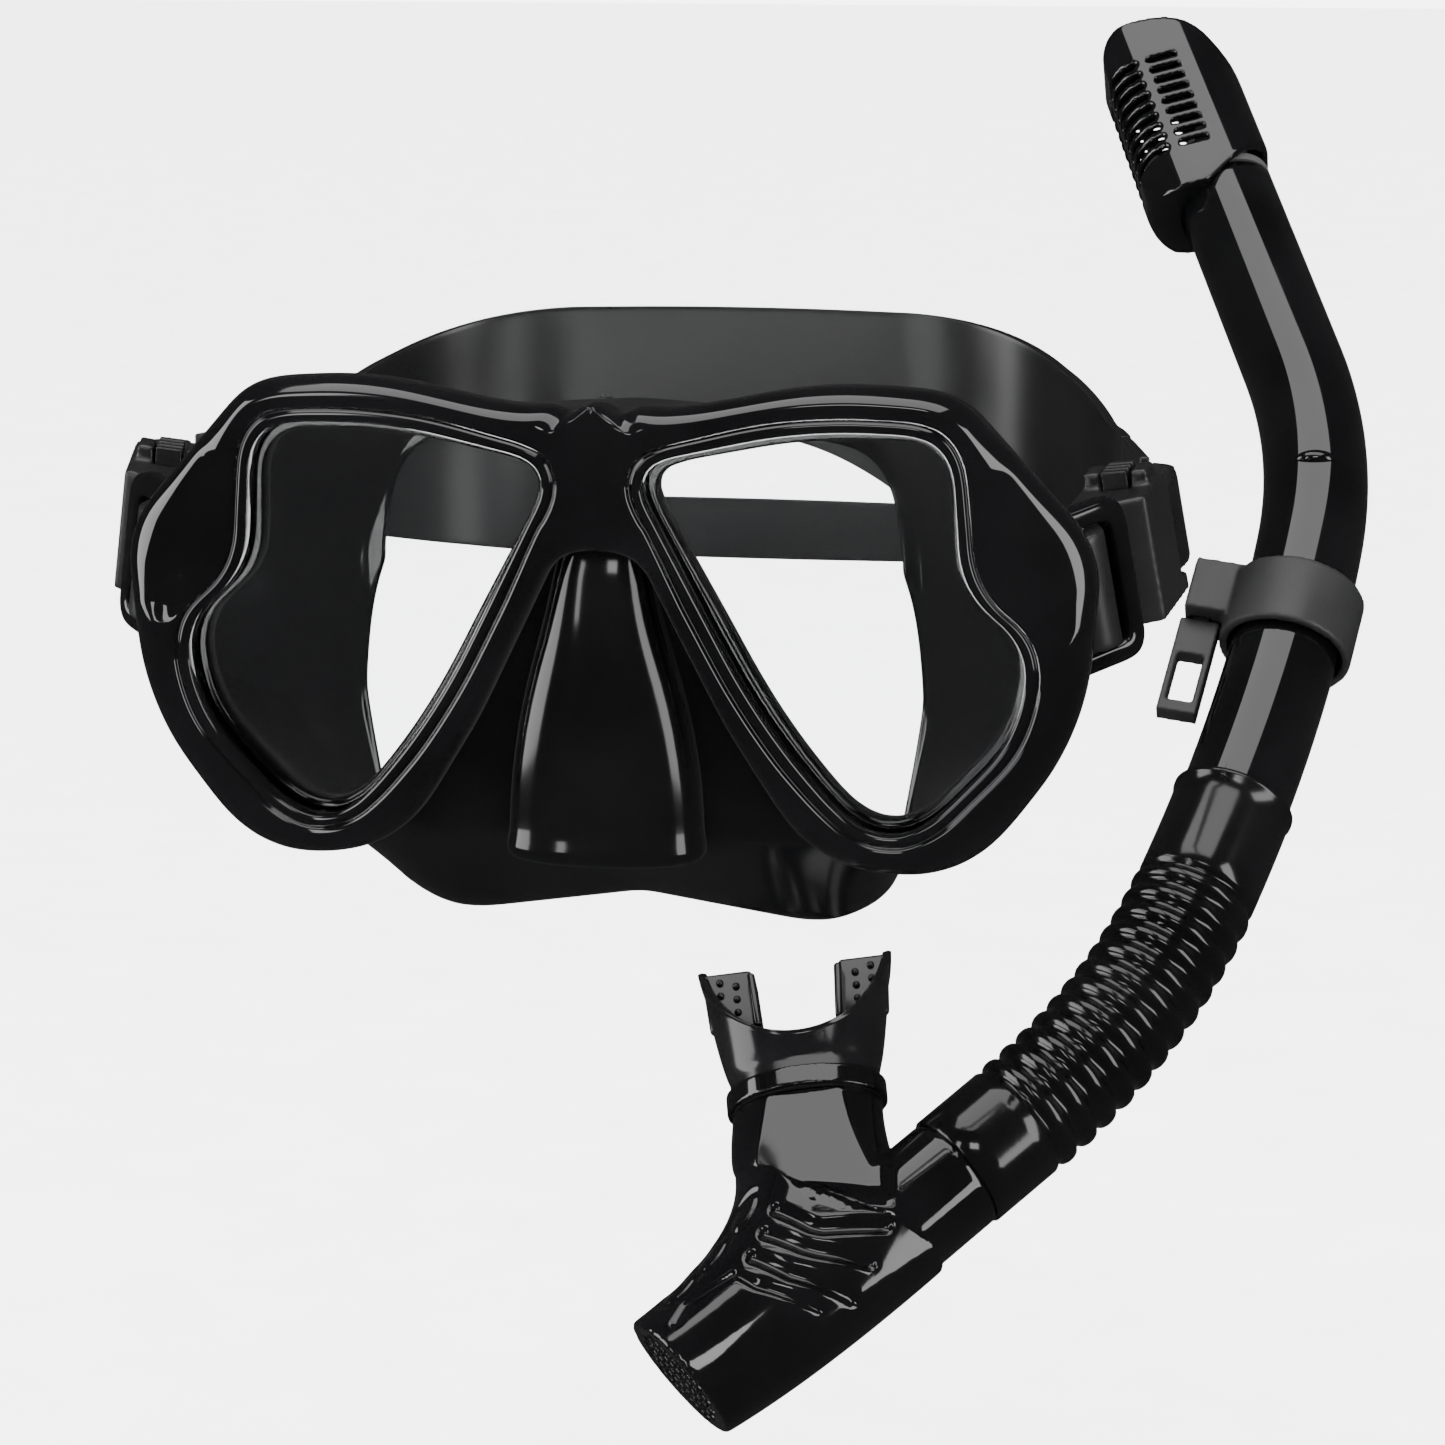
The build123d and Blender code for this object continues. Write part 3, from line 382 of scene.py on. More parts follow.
def relax(piece: bpy.types.Object, rounds: int) -> None:
    """Smooths a piece's mesh a little.

    Args:
        piece: The piece.
        rounds: Rounds of smoothing.
    """
    smoother = bmesh.new()
    smoother.from_mesh(piece.data)
    for _ in range(rounds):
        bmesh.ops.smooth_vert(
            smoother, verts=smoother.verts, factor=0.5, use_axis_x=True, use_axis_y=True, use_axis_z=True
        )
    smoother.to_mesh(piece.data)
    smoother.free()


def settle(piece: bpy.types.Object, body: str, slot: str, *nodes: str) -> None:
    """Makes a piece ride on its body and stand for its CAD nodes.

    The mask is kept out of glossy reflections, so that it doesn't darken the tube's flat faces.

    Args:
        piece: The finished piece.
        body: Name of the CAD body it rides on.
        slot: Not used.
        *nodes: CAD nodes that the piece replaces.
    """
    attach(piece, body)
    piece.visible_glossy = body != "mask"
    if nodes:
        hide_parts(*nodes)
    LOG.info("%s rides on %s", piece.name, body)


def corner(back: np.ndarray, here: np.ndarray, on: np.ndarray, radius: float, steps: int) -> list[np.ndarray]:
    """Points round one corner of a path.

    Args:
        back: The corner before it.
        here: The corner.
        on: The corner after it.
        radius: Radius of the bend; less where the sides are too short for it.
        steps: How many points.

    Returns:
        The points in order.
    """
    back, on = back - here, on - here
    back_long, on_long = np.linalg.norm(back), np.linalg.norm(on)
    back, on = back / back_long, on / on_long
    half = math.acos(max(-1.0, min(1.0, float(back @ on)))) / 2
    run = min(radius / math.tan(half), MOST_OF_SIDE * back_long, MOST_OF_SIDE * on_long)
    start, end = here + back * run, here + on * run
    return [(1 - t) ** 2 * start + 2 * t * (1 - t) * here + t * t * end for t in np.linspace(0, 1, steps)]


def spaced(path: np.ndarray, count: int = 0) -> np.ndarray:
    """Evenly spaced points along a path.

    Args:
        path: Points of the path.
        count: How many points; none asks for one every OUTLINE_GAP.

    Returns:
        The points.
    """
    travel = np.concatenate([[0], np.cumsum(np.linalg.norm(np.diff(path, axis=0), axis=1))])
    even = np.linspace(0, travel[-1], count) if count else np.arange(0, travel[-1], OUTLINE_GAP)
    return np.stack([np.interp(even, travel, path[:, k]) for k in (0, 1)], axis=1)


def rounded(corners: list[tuple[float, float, float]]) -> np.ndarray:
    """Closed outline with rounded corners, as evenly spaced points.

    Args:
        corners: Corners as (x, z, radius).

    Returns:
        Points along the outline.
    """
    places = [np.array(c[:2], float) for c in corners]
    points = []
    for i, (_, _, radius) in enumerate(corners):
        points += corner(places[i - 1], places[i], places[(i + 1) % len(places)], radius, CORNER_STEPS)
    return spaced(np.array(points + points[:1]))


def between(outline: np.ndarray, anchors: list[tuple[float, float]], counts: list[int]) -> np.ndarray:
    """Points along an outline, shared out between anchors.

    Args:
        outline: Closed outline from rounded().
        anchors: Points near the outline, in the outline's direction.
        counts: How many points each stretch from one anchor to the next gets.

    Returns:
        The points, as many as the counts add up to.
    """
    total = len(outline)
    marks = [int(np.argmin(np.linalg.norm(outline - np.array(a), axis=1))) for a in anchors]
    chosen = []
    for i, count in enumerate(counts):
        start, end = marks[i], marks[(i + 1) % len(marks)]
        run = (end - start) % total
        chosen += [outline[int(round(start + run * k / count)) % total] for k in range(count)]
    return np.array(chosen)


def engrave(
    piece: bpy.types.Object, local: np.ndarray, lines: list[list[tuple[float, float]]],
    width: float, depth: float, push: np.ndarray, allowed: np.ndarray,
) -> None:
    """Presses grooves into a fine mesh.

    Args:
        piece: The piece whose vertices move.
        local: Each vertex's two pattern coordinates, in millimetres.
        lines: Polylines of the grooves in pattern coordinates.
        width: Half width of a groove.
        depth: Depth of a groove.
        push: Inward direction.
        allowed: Which vertices may move.
    """
    nearest = np.full(len(local), 1e9)
    for line in lines:
        for a, b in zip(line, line[1:]):
            a, b = np.array(a), np.array(b)
            along = np.clip(((local - a) @ (b - a)) / max((b - a) @ (b - a), 1e-9), 0, 1)
            nearest = np.minimum(nearest, np.linalg.norm(local - (a + along[:, None] * (b - a)), axis=1))
    amount = np.where(allowed, np.clip(1 - (nearest / width) ** 2, 0, 1) ** 1.4, 0) * depth * MM
    move(piece, corners_of(piece)[0] + push * amount[:, None])


def move(piece: bpy.types.Object, places: np.ndarray) -> None:
    """Moves a piece's vertices to new places, in metres."""
    piece.data.vertices.foreach_set("co", places.ravel())
    piece.data.update()


def corners_of(piece: bpy.types.Object) -> tuple[np.ndarray, np.ndarray]:
    """Places and normals of a piece's vertices, in metres."""
    places = np.empty(len(piece.data.vertices) * 3)
    normals = np.empty(len(piece.data.vertices) * 3)
    piece.data.vertices.foreach_get("co", places)
    piece.data.vertices.foreach_get("normal", normals)
    return places.reshape(-1, 3), normals.reshape(-1, 3)


# ---------------------------------------------------------------------------
# Mask
# ---------------------------------------------------------------------------
@dataclass
class RimmedFrame:
    """The twin-lens frame: grooved rims, nose bridge and side arms."""

    depth: float = 46.6
    wrap: float = 0.0857
    tilt: float = 0.0507
    soften: float = 7.0
    scallop: float = 1.7
    dip_at: float = 4.6
    dip_wide: float = 2.2
    dip_above: float = 38.0
    dip_within: float = 10.0
    centre_half: float = 2.5
    centre_snap: float = 1e-3
    tear: tuple[tuple[float, float], ...] = (
        (72.6, 26.0), (75.5, 21.5), (79.5, 14.5), (82.3, 7.0), (83.0, 1.0),
    )
    tear_half: float = 4.4
    tear_deep: float = 1.1
    tear_ahead_of: float = -36.0
    arm_place: tuple[float, float, float] = (88.0, -28.0, 5.7)
    arm_sweep: float = 42.0
    arm_lean: float = 13.0
    window: tuple[float, float] = (13.4, 23.4)
    window_round: float = 2.2
    side_points: int = 12
    rail: float = 4.2
    root: float = 15.0
    lens_corners: list[tuple[float, float, float]] = field(default_factory=lambda: [
        (6.7, 29.2, 7), (38.5, 36.0, 90), (64.8, 35.3, 10), (66.6, 7.1, 18),
        (79.3, -3.5, 14), (76.6, -20.5, 28), (53.6, -44.8, 16), (31.4, -19.3, 150),
    ])
    rim_corners: list[tuple[float, float, float]] = field(default_factory=lambda: [
        (0.0, 40.6, 0.01), (14.5, 39.3, 100), (42.6, 44.8, 100), (65.8, 43.0, 14),
        (92.0, 13.9, 20), (88.8, -20.3, 50), (67.9, -48.2, 25), (39.7, -46.1, 26),
        (23.4, -19.5, 60), (8.1, 11.6, 10), (0.0, 13.6, 0.01),
    ])
    lens_anchors: list[tuple[float, float]] = field(default_factory=lambda: [
        (12, 30.5), (20, 32), (38.5, 35.8), (60, 35), (66, 20), (67.5, 8), (77, -4), (78, -15), (65, -33),
        (55, -42), (45, -37), (35, -25), (20, 5), (10, 20), (8.2, 22.5), (7.6, 26), (8.5, 28.8), (10.2, 30.1),
    ])
    rim_anchors: list[tuple[float, float]] = field(default_factory=lambda: [
        (3, 40.5), (14.5, 40), (40, 44), (64, 43), (82, 28), (90, 12), (91, 0), (88, -20), (77, -36),
        (62, -48), (44, -47.5), (30, -31), (14, 0), (7, 12), (0, 13.6), (0, 22), (0, 32), (0, 40.6),
    ])
    shares: list[int] = field(default_factory=lambda: [9, 7, 6, 8, 8, 8, 6, 6, 5, 5, 6, 9, 7, 4, 4, 4, 4, 5])

    def glass_depth(self, x: float, z: float) -> float:
        """Depth of the front of the glass at a place on the mask."""
        bowed = math.hypot(x, self.soften) - self.soften
        return -self.depth + self.wrap * bowed - self.tilt * z

    def ring(
        self, inner: np.ndarray, outer: np.ndarray, step: float, share: float, ahead: float,
        centre_ahead: float,
    ) -> list[Vector]:
        """One ring of the rim's cross-section.

        Args:
            inner: Outline of the lens opening.
            outer: Outline of the rim, matched to it.
            step: Distance from the lens opening that the share starts at.
            share: Part of the rest of the width.
            ahead: Height in front of the glass.
            centre_ahead: The same on the centre line.

        Returns:
            The ring's points in metres.
        """
        points = []
        for a, b in zip(inner, outer):
            across = b - a
            wide = float(np.linalg.norm(across))
            x, z = a + across / wide * (step + (wide - step) * share)
            centre = max(0.0, 1 - abs(b[0]) / self.centre_half)
            if share >= 1.0 and b[0] < self.centre_snap:
                x = 0.0
            rise = ahead + (centre_ahead - ahead) * centre
            points.append(Vector((x, self.glass_depth(x, z) - rise, z)) * MM)
        return points

    def half(self) -> bmesh.types.BMesh:
        """The rim round the lens on the +X side."""
        inner = between(rounded(self.lens_corners), self.lens_anchors, self.shares)
        outer = between(rounded(self.rim_corners), self.rim_anchors, self.shares)
        for point in outer:
            if point[1] > self.dip_above and point[0] < self.dip_within:
                point[1] -= self.scallop * math.exp(-(((point[0] - self.dip_at) / self.dip_wide) ** 2))
        section = [
            (0.0, 0.0, -3.6, -3.6), (0.0, 0.0, -0.2, -0.2), (0.15, 0.0, 1.9, 1.9), (0.7, 0.0, 2.6, 2.6),
            (2.1, 0.0, 2.75, 2.75), (2.45, 0.0, 2.0, 2.0), (2.9, 0.0, 1.95, 1.95), (3.2, 0.0, 2.8, 2.8),
            (3.4, 0.12, 3.1, 3.0), (3.4, 0.42, 3.15, 2.6), (3.4, 0.52, 2.9, 2.4), (3.4, 0.78, 1.5, 2.0),
            (3.4, 0.95, -0.6, 1.9), (3.4, 1.0, -2.8, 1.9), (3.4, 1.0, -6.8, -6.8), (3.4, 0.9, -8.6, -8.6),
            (3.4, 0.2, -8.8, -8.8), (0.0, 0.0, -8.8, -8.8),
        ]
        mesh = lofted([self.ring(inner, outer, *row) for row in section])
        open_middle(mesh)
        return mesh

    def rims(self) -> bpy.types.Object:
        """Both rims and the bridge as one moulding."""
        piece = shown(mirrored(self.half(), HALVES_JOIN), "frame_rims", PIANO_BLACK, levels=2)
        self.recess(piece)
        return piece

    def recess(self, piece: bpy.types.Object) -> None:
        """Presses the teardrop recess into each cheek of the rims."""
        places, normals = corners_of(piece)
        local = np.stack([np.abs(places[:, 0]), places[:, 2]], axis=1) / MM
        on_front = (normals[:, 1] < 0.0) & (places[:, 1] / MM < self.tear_ahead_of)
        inward = np.array([0.0, 1.0, 0.0])
        engrave(piece, local, [list(self.tear)], self.tear_half, self.tear_deep, inward, on_front)
        relax(piece, 1)

    def arm_point(self, x: float, y: float, z: float) -> Vector:
        """Place in metres of a point of the side arm's own frame."""
        sweep, lean = math.radians(self.arm_sweep), math.radians(self.arm_lean)
        along = Vector((math.cos(lean) * math.cos(sweep), math.cos(lean) * math.sin(sweep), math.sin(lean)))
        out = Vector((math.sin(sweep), -math.cos(sweep), 0.0))
        return (Vector(self.arm_place) + along * x + out.cross(along) * y + out * z) * MM

    def arms(self) -> bpy.types.Object:
        """The two side arms with their windows."""
        wide, high = self.window[0] / 2, self.window[1] / 2
        section = [
            (0.0, -2.6), (0.0, 1.6), (0.5, 2.3), (1.3, 2.5), (3.0, 2.4), (3.9, 1.7), (self.rail, 0.4),
            (self.rail, -1.8), (3.4, -2.7), (0.8, -2.8),
        ]
        rings = []
        for out, rise in section:
            left = wide + out + (self.root - self.rail - wide) * (out > 0)
            top, radius = high + out, self.window_round + out * 0.6
            marks = [(wide + out, top), (wide + out, -top), (-left, -top), (-left, top)]
            outline = rounded([(*mark, radius) for mark in marks])
            flat = between(outline, marks, [self.side_points] * len(marks))
            rings.append([self.arm_point(x, y, rise) for x, y in flat])
        return shown(mirrored(lofted(rings)), "frame_arms", PIANO_BLACK, levels=2)

    def build(self) -> None:
        """Builds and settles the frame."""
        settle(self.rims(), "mask", "frame_gloss", "mask_frame")
        settle(self.arms(), "mask", "frame_gloss")


@dataclass
class Skirt:
    """Silicone skirt: walls and face seal, with the nose pocket let into the front."""

    rims: RimmedFrame = field(default_factory=RimmedFrame)
    wall: float = 1.8
    flange: float = 6.5
    front_corners: list[tuple[float, float, float]] = field(default_factory=lambda: [
        (0.0, 37.9, 0.01), (60.0, 39.0, 14), (80.0, 8.0, 18), (80.0, -20.0, 22), (58.0, -42.0, 18),
        (30.0, -43.0, 12), (0.0, -41.2, 0.01),
    ])
    back_corners: list[tuple[float, float, float]] = field(default_factory=lambda: [
        (0.0, 35.8, 0.01), (46.0, 33.0, 16), (57.0, 8.0, 20), (57.0, -28.0, 20), (50.0, -60.0, 15),
        (37.0, -67.0, 22), (0.0, -61.4, 0.01),
    ])
    lens_anchors: list[tuple[float, float]] = field(default_factory=lambda: [
        (12, 30.5), (38.5, 35.8), (60, 35), (67, 12), (78, -8),
        (75, -22), (55, -42), (42, -34), (20, 5), (8, 24),
    ])
    front_anchors: list[tuple[float, float]] = field(default_factory=lambda: [
        (0, 37.9), (30, 38.4), (62, 38), (78, 12), (80, -6),
        (78, -26), (58, -41.5), (30, -43), (0, -41.2), (0, 0),
    ])
    back_anchors: list[tuple[float, float]] = field(default_factory=lambda: [
        (0, 35.8), (30, 34), (48, 31), (56, 8), (57, -10),
        (56.5, -30), (50, -58), (36, -66.5), (0, -61.4), (0, -10),
    ])
    share: int = 9
    pocket: list[tuple[float, float, float]] = field(default_factory=lambda: [
        (18.0, 5.5, 3.0), (16.0, 7.4, 7.0), (12.0, 8.6, 10.5), (4.0, 10.2, 12.4),
        (-4.0, 12.2, 12.9), (-11.0, 14.3, 13.0), (-21.0, 16.6, 13.0), (-31.0, 17.9, 13.0),
        (-38.0, 18.3, 12.9), (-41.5, 18.4, 12.9), (-43.2, 18.9, 13.6), (-44.8, 18.9, 13.5),
        (-46.0, 18.0, 12.6), (-46.6, 16.0, 10.0), (-46.7, 14.0, 5.0),
    ])
    pocket_foot: float = -34.0
    pocket_points: int = 41
    lip_height: float = -44.0
    flute: float = 0.35
    flute_from: float = 8.0
    flute_grows: float = 20.0
    seal_depth: float = 2.0
    opening: tuple[float, float, float] = (-45.0, 8.0, -28.0)
    opening_half: float = 7.5
    opening_flare: float = 0.2
    opening_waist: float = 6.0

    def ring(
        self, kind: str, outlines: dict[str, np.ndarray], inward: float, mix: float, depth: float,
        onto_glass: bool,
    ) -> list[Vector]:
        """One ring of the skirt's section.

        Args:
            kind: Outline that the ring follows, "lens", "front" or "back".
            outlines: The matched outlines.
            inward: Distance moved towards the middle of the lens.
            mix: Share of the way from the front outline to the back one.
            depth: Depth behind the glass, or ahead of the face opening when onto_glass is off.
            onto_glass: Whether the depth is counted from the glass.

        Returns:
            The ring's points in metres.
        """
        middle = outlines["lens"].mean(axis=0)
        points = []
        for k, place in enumerate(outlines[kind]):
            if mix:
                place = place + (outlines["back"][k] - place) * mix
            to_middle = middle - place
            x, z = place + to_middle / np.linalg.norm(to_middle) * inward
            if kind != "lens" and outlines[kind][k][0] < 0.05:
                x, z = 0.0, place[1] + (inward if place[1] < -30 else -inward if place[1] > 30 else 0.0)
            y = self.rims.glass_depth(x, z) + depth if onto_glass else -depth
            if mix:
                front = self.rims.glass_depth(x, z) + depth
                y = front + (-self.seal_depth - front) * mix
            points.append(Vector((x, y, z)) * MM)
        return points

    def walls(self) -> bmesh.types.BMesh:
        """Both halves of the walls, open where the nose pocket is."""
        shares = [self.share] * len(self.lens_anchors)
        outlines = {
            "lens": between(rounded(self.rims.lens_corners), self.lens_anchors, shares),
            "front": between(rounded(self.front_corners), self.front_anchors, shares),
            "back": between(rounded(self.back_corners), self.back_anchors, shares),
        }
        wall = self.wall
        section = [
            ("lens", 0.3, 0.0, 3.2, True), ("lens", 1.5, 0.0, 3.6, True), ("lens", 1.9, 0.0, 5.0, True),
            ("lens", 1.8, 0.0, 9.6, True), ("lens", 0.6, 0.0, 10.8, True),
            ("front", wall + 1.0, 0.0, 11.0, True), ("front", wall, 0.0, 12.0, True),
            ("front", wall, 0.35, 11.0, True), ("front", wall, 0.7, 11.0, True),
            ("back", wall, 0.0, 3.2, False), ("back", wall + 0.6, 0.0, 2.0, False),
            ("back", self.flange - 0.6, 0.0, 1.5, False), ("back", self.flange, 0.0, 0.9, False),
            ("back", self.flange - 0.6, 0.0, 0.2, False), ("back", 1.0, 0.0, 0.05, False),
            ("back", 0.1, 0.0, 0.5, False), ("back", 0.0, 0.0, 2.0, False), ("front", 0.0, 0.7, 9.5, True),
            ("front", 0.0, 0.35, 9.5, True), ("front", 0.0, 0.06, 9.2, True), ("front", 1.0, 0.0, 8.6, True),
            ("lens", -2.0, 0.0, 8.4, True), ("lens", -2.0, 0.0, 3.6, True),
        ]
        mesh = lofted([self.ring(kind, outlines, *rest) for kind, *rest in section])
        open_middle(mesh)
        nose = [f for f in mesh.faces if all(self.in_pocket(v.co / MM) for v in f.verts)]
        bmesh.ops.delete(mesh, geom=nose, context="FACES")
        return mirrored(mesh, HALVES_JOIN)

    def in_pocket(self, place: Vector) -> bool:
        """Whether a place on the front of the walls lies where the nose pocket is."""
        low, high, behind = self.opening
        half = self.opening_half + (self.opening_waist - place.z) * self.opening_flare
        return abs(place.x) < half and low < place.z < high and place.y < behind

    def nose(self) -> bmesh.types.BMesh:
        """Wall of the nose pocket, arched at the bridge and square at the lip."""
        turns = np.linspace(0.0, math.pi, self.pocket_points)
        rings = []
        for high, half, deep in self.pocket:
            ring = []
            fluted = self.flute * max(0.0, min(1.0, (self.flute_from - high) / self.flute_grows))
            for inset, order in ((0.0, turns), (self.wall, turns[::-1])):
                lift = inset * 0.9 if high < self.lip_height else 0.0
                for turn in order:
                    side = math.copysign(abs(math.cos(turn)) ** 0.72, math.cos(turn))
                    flute = fluted * math.cos(4 * turn)
                    out = max(0.5, deep - inset) * math.sin(turn) ** 0.62 + flute * math.sin(turn)
                    ring.append(Vector(((half - inset) * side, self.pocket_foot - out, high + lift)) * MM)
            rings.append(ring)
        return lofted(rings, closed=False)

    def build(self) -> None:
        """Builds and settles the skirt."""
        walls = shown(self.walls(), "skirt_walls", SKIRT_SILICONE, levels=1)
        settle(walls, "mask", "skirt_silicone", "skirt")
        settle(shown(self.nose(), "nose_pocket", SKIRT_SILICONE, levels=1), "mask", "skirt_silicone")


@dataclass
class HeadStrap:
    """Silicone strap round the head, split behind it, with tails that ride on the buckle arms."""

    thick: float = 2.0
    split_half: float = 38.0
    split_foot: float = -1.5
    split_top: float = 13.0
    seam: float = 60.0
    bend_margin: float = 2.0
    bend_height: float = 11.0
    slot_fade: float = 12.0
    bead: float = 1.0
    slot_bead: float = 0.9
    edge_round: float = 0.5
    bend_points: int = 24
    stations: int = 171
    route: list[tuple[float, float, float]] = field(default_factory=lambda: [
        (94.8, 21.4, 0.0), (85.5, 74.0, 70.0), (57.0, 112.5, 50.0), (0.0, 117.0, 400.0),
    ])
    top: list[tuple[float, float]] = field(default_factory=lambda: [
        (15, 23.6), (50, 22.4), (58, 22), (72, 22.5), (88, 30), (105, 36.5), (114, 40), (121, 41.5),
    ])
    foot: list[tuple[float, float]] = field(default_factory=lambda: [
        (15, 0.9), (58, -2.4), (85, -6.5), (105, -11.5), (121, -16),
    ])

    def line(self) -> np.ndarray:
        """Plan of the strap's middle line, evenly spaced, from +X to -X."""
        right = [np.array(p[:2]) for p in self.route]
        bends = [p[2] for p in self.route]
        points = right + [p * (-1, 1) for p in right[-2::-1]]
        bends = bends + bends[-2::-1]
        line = [points[0]]
        for i in range(1, len(points) - 1):
            line += corner(points[i - 1], points[i], points[i + 1], bends[i], self.bend_points)
        line.append(points[-1])
        return spaced(np.array(line), self.stations)

    def rows(self, x: float, y: float) -> list[float]:
        """Heights of the strap's rows at a place on its plan."""
        top = float(np.interp(y, *zip(*self.top)))
        foot = float(np.interp(y, *zip(*self.foot)))
        low, high = foot + 0.42 * (top - foot), foot + 0.58 * (top - foot)
        if abs(x) < self.split_half + self.slot_fade:
            reach = min(abs(x), self.split_half) / self.split_half
            arch_low = self.split_foot
            arch_high = self.split_foot + (self.split_top - self.split_foot) * (1 - reach ** 2)
            fade = max(0.0, (abs(x) - self.split_half) / self.slot_fade)
            low = arch_low + (low - arch_low) * fade
            high = arch_high + (high - arch_high) * fade
        return [
            foot, foot + self.bead, (foot + low) / 2, low - self.slot_bead, low,
            high, high + self.slot_bead, (high + top) / 2, top - self.bead, top,
        ]

    def band(self, name: str, line: np.ndarray, split: bool) -> bpy.types.Object:
        """A stretch of the strap.

        Args:
            name: Name of the piece.
            line: Its plan.
            split: Whether the arch-shaped opening is cut.

        Returns:
            The piece.
        """
        mesh = bmesh.new()
        places = [Vector((x, y, high)) * MM for x, y in line for high in self.rows(x, y)]
        rows = len(places) // len(line)
        made = bmesh.ops.create_grid(mesh, x_segments=len(line) - 1, y_segments=rows - 1, size=1.0)
        order = sorted(made["verts"], key=lambda v: (round(v.co.x, 5), round(v.co.y, 5)))
        for vert, place in zip(order, places):
            vert.co = place
        if split:
            gap = []
            for face in mesh.faces:
                middle = face.calc_center_median() / MM
                low, high = self.rows(middle.x, middle.y)[4:6]
                if abs(middle.x) < self.split_half and low < middle.z < high:
                    gap.append(face)
            bmesh.ops.delete(mesh, geom=gap, context="FACES")
        bmesh.ops.remove_doubles(mesh, verts=mesh.verts, dist=0.05 * MM)
        bmesh.ops.recalc_face_normals(mesh, faces=mesh.faces)
        piece = as_object(mesh, name)
        wall = piece.modifiers.new("wall", "SOLIDIFY")
        wall.thickness = self.thick * MM
        wall.offset = 0.0
        edge = piece.modifiers.new("edge", "BEVEL")
        edge.width = self.edge_round * MM
        edge.segments = 3
        edge.limit_method = "ANGLE"
        edge.angle_limit = math.radians(50)
        bake(piece)
        return coated(piece, STRAP_SILICONE)

    def build(self) -> None:
        """Builds the strap in three stretches and its two tails; settles the back stretch and the tails."""
        line = self.line()
        ends = [i for i, (x, y) in enumerate(line) if y < self.seam]
        first = max(i for i in ends if line[i][0] > 0)
        last = min(i for i in ends if line[i][0] < 0)
        settle(self.band("strap_back", line[first:last + 1], True), "mask", "strap_silicone", "head_strap")
        for side, part in (("left", line[:first + 1]), ("right", line[last:])):
            piece = self.band(f"strap_end_{side}", part, False)
            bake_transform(piece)
            tail = softened((f"strap_tail_{side}",), f"strap_fold_{side}", STRAP_SILICONE, 0.5, 3)
            settle(tail, f"buckle_arm_{side}", "strap_silicone", f"strap_tail_{side}")


@dataclass
class Buckles:
    """Swivelling strap buckles with their push buttons."""

    voxel: float = 0.42
    rounds: int = 12
    fine_voxel: float = 0.2
    fine_rounds: int = 2

    def build(self) -> None:
        """Builds and settles both buckles."""
        for side in ("left", "right"):
            shell, button = f"buckle_{side}", f"release_button_{side}"
            piece = softened((shell,), f"buckle_shell_{side}", BUCKLE_MATTE, self.voxel, self.rounds)
            settle(piece, f"buckle_arm_{side}", "buckle_matte", shell)
            piece = softened((button,), f"button_cap_{side}", BUCKLE_MATTE, self.fine_voxel, self.fine_rounds)
            settle(piece, f"button_{side}", "button_matte", button)


# ---------------------------------------------------------------------------
# Snorkel
# ---------------------------------------------------------------------------
@dataclass
class SnorkelFrame:
    """The leaning plane of the snorkel: u across, v up the tube, w towards the front."""

    place: tuple[float, float, float] = (120.3, 106.8, -21.8)
    lean: float = 45.0

    def axes(self) -> tuple[Vector, Vector, Vector]:
        """The plane's three directions."""
        lean = math.radians(self.lean)
        front = Vector((0.0, -math.cos(lean), math.sin(lean)))
        return Vector((1, 0, 0)), front.cross(Vector((1, 0, 0))), front

    def point(self, u: float, v: float, w: float = 0.0) -> Vector:
        """Place in metres of a point of the plane."""
        across, up, front = self.axes()
        return (Vector(self.place) + across * u + up * v + front * w) * MM

    def local(self, places: np.ndarray) -> np.ndarray:
        """Plane coordinates, in millimetres, of places in metres."""
        turn = np.array([tuple(a) for a in self.axes()])
        return (places / MM - np.array(self.place)) @ turn.T


@dataclass
class TubeLine:
    """Centre line of the snorkel from the hose to the dry top."""

    start: tuple[float, float] = (-47.7, -125.1)
    heading: float = 47.5
    bends: tuple[tuple[float, float], ...] = ((147.0, 24.5), (453.0, 11.5), (108.0, 26.5))

    def at(self, travel: float) -> tuple[float, float, float]:
        """Place and heading at a distance along the line.

        Args:
            travel: Distance from the start of the hose; negative runs back down the barrel.

        Returns:
            u, v and the heading in degrees.
        """
        u, v = self.start
        heading = self.heading
        left = travel
        for radius, turn in self.bends:
            if left <= 0:
                break
            run = min(left, radius * math.radians(turn))
            angle = math.degrees(run / radius)
            a, b = math.radians(heading), math.radians(heading + angle)
            u += radius * (math.sin(b) - math.sin(a))
            v += radius * (math.cos(a) - math.cos(b))
            heading += angle
            left -= run
        u += left * math.cos(math.radians(heading))
        v += left * math.sin(math.radians(heading))
        return u, v, heading


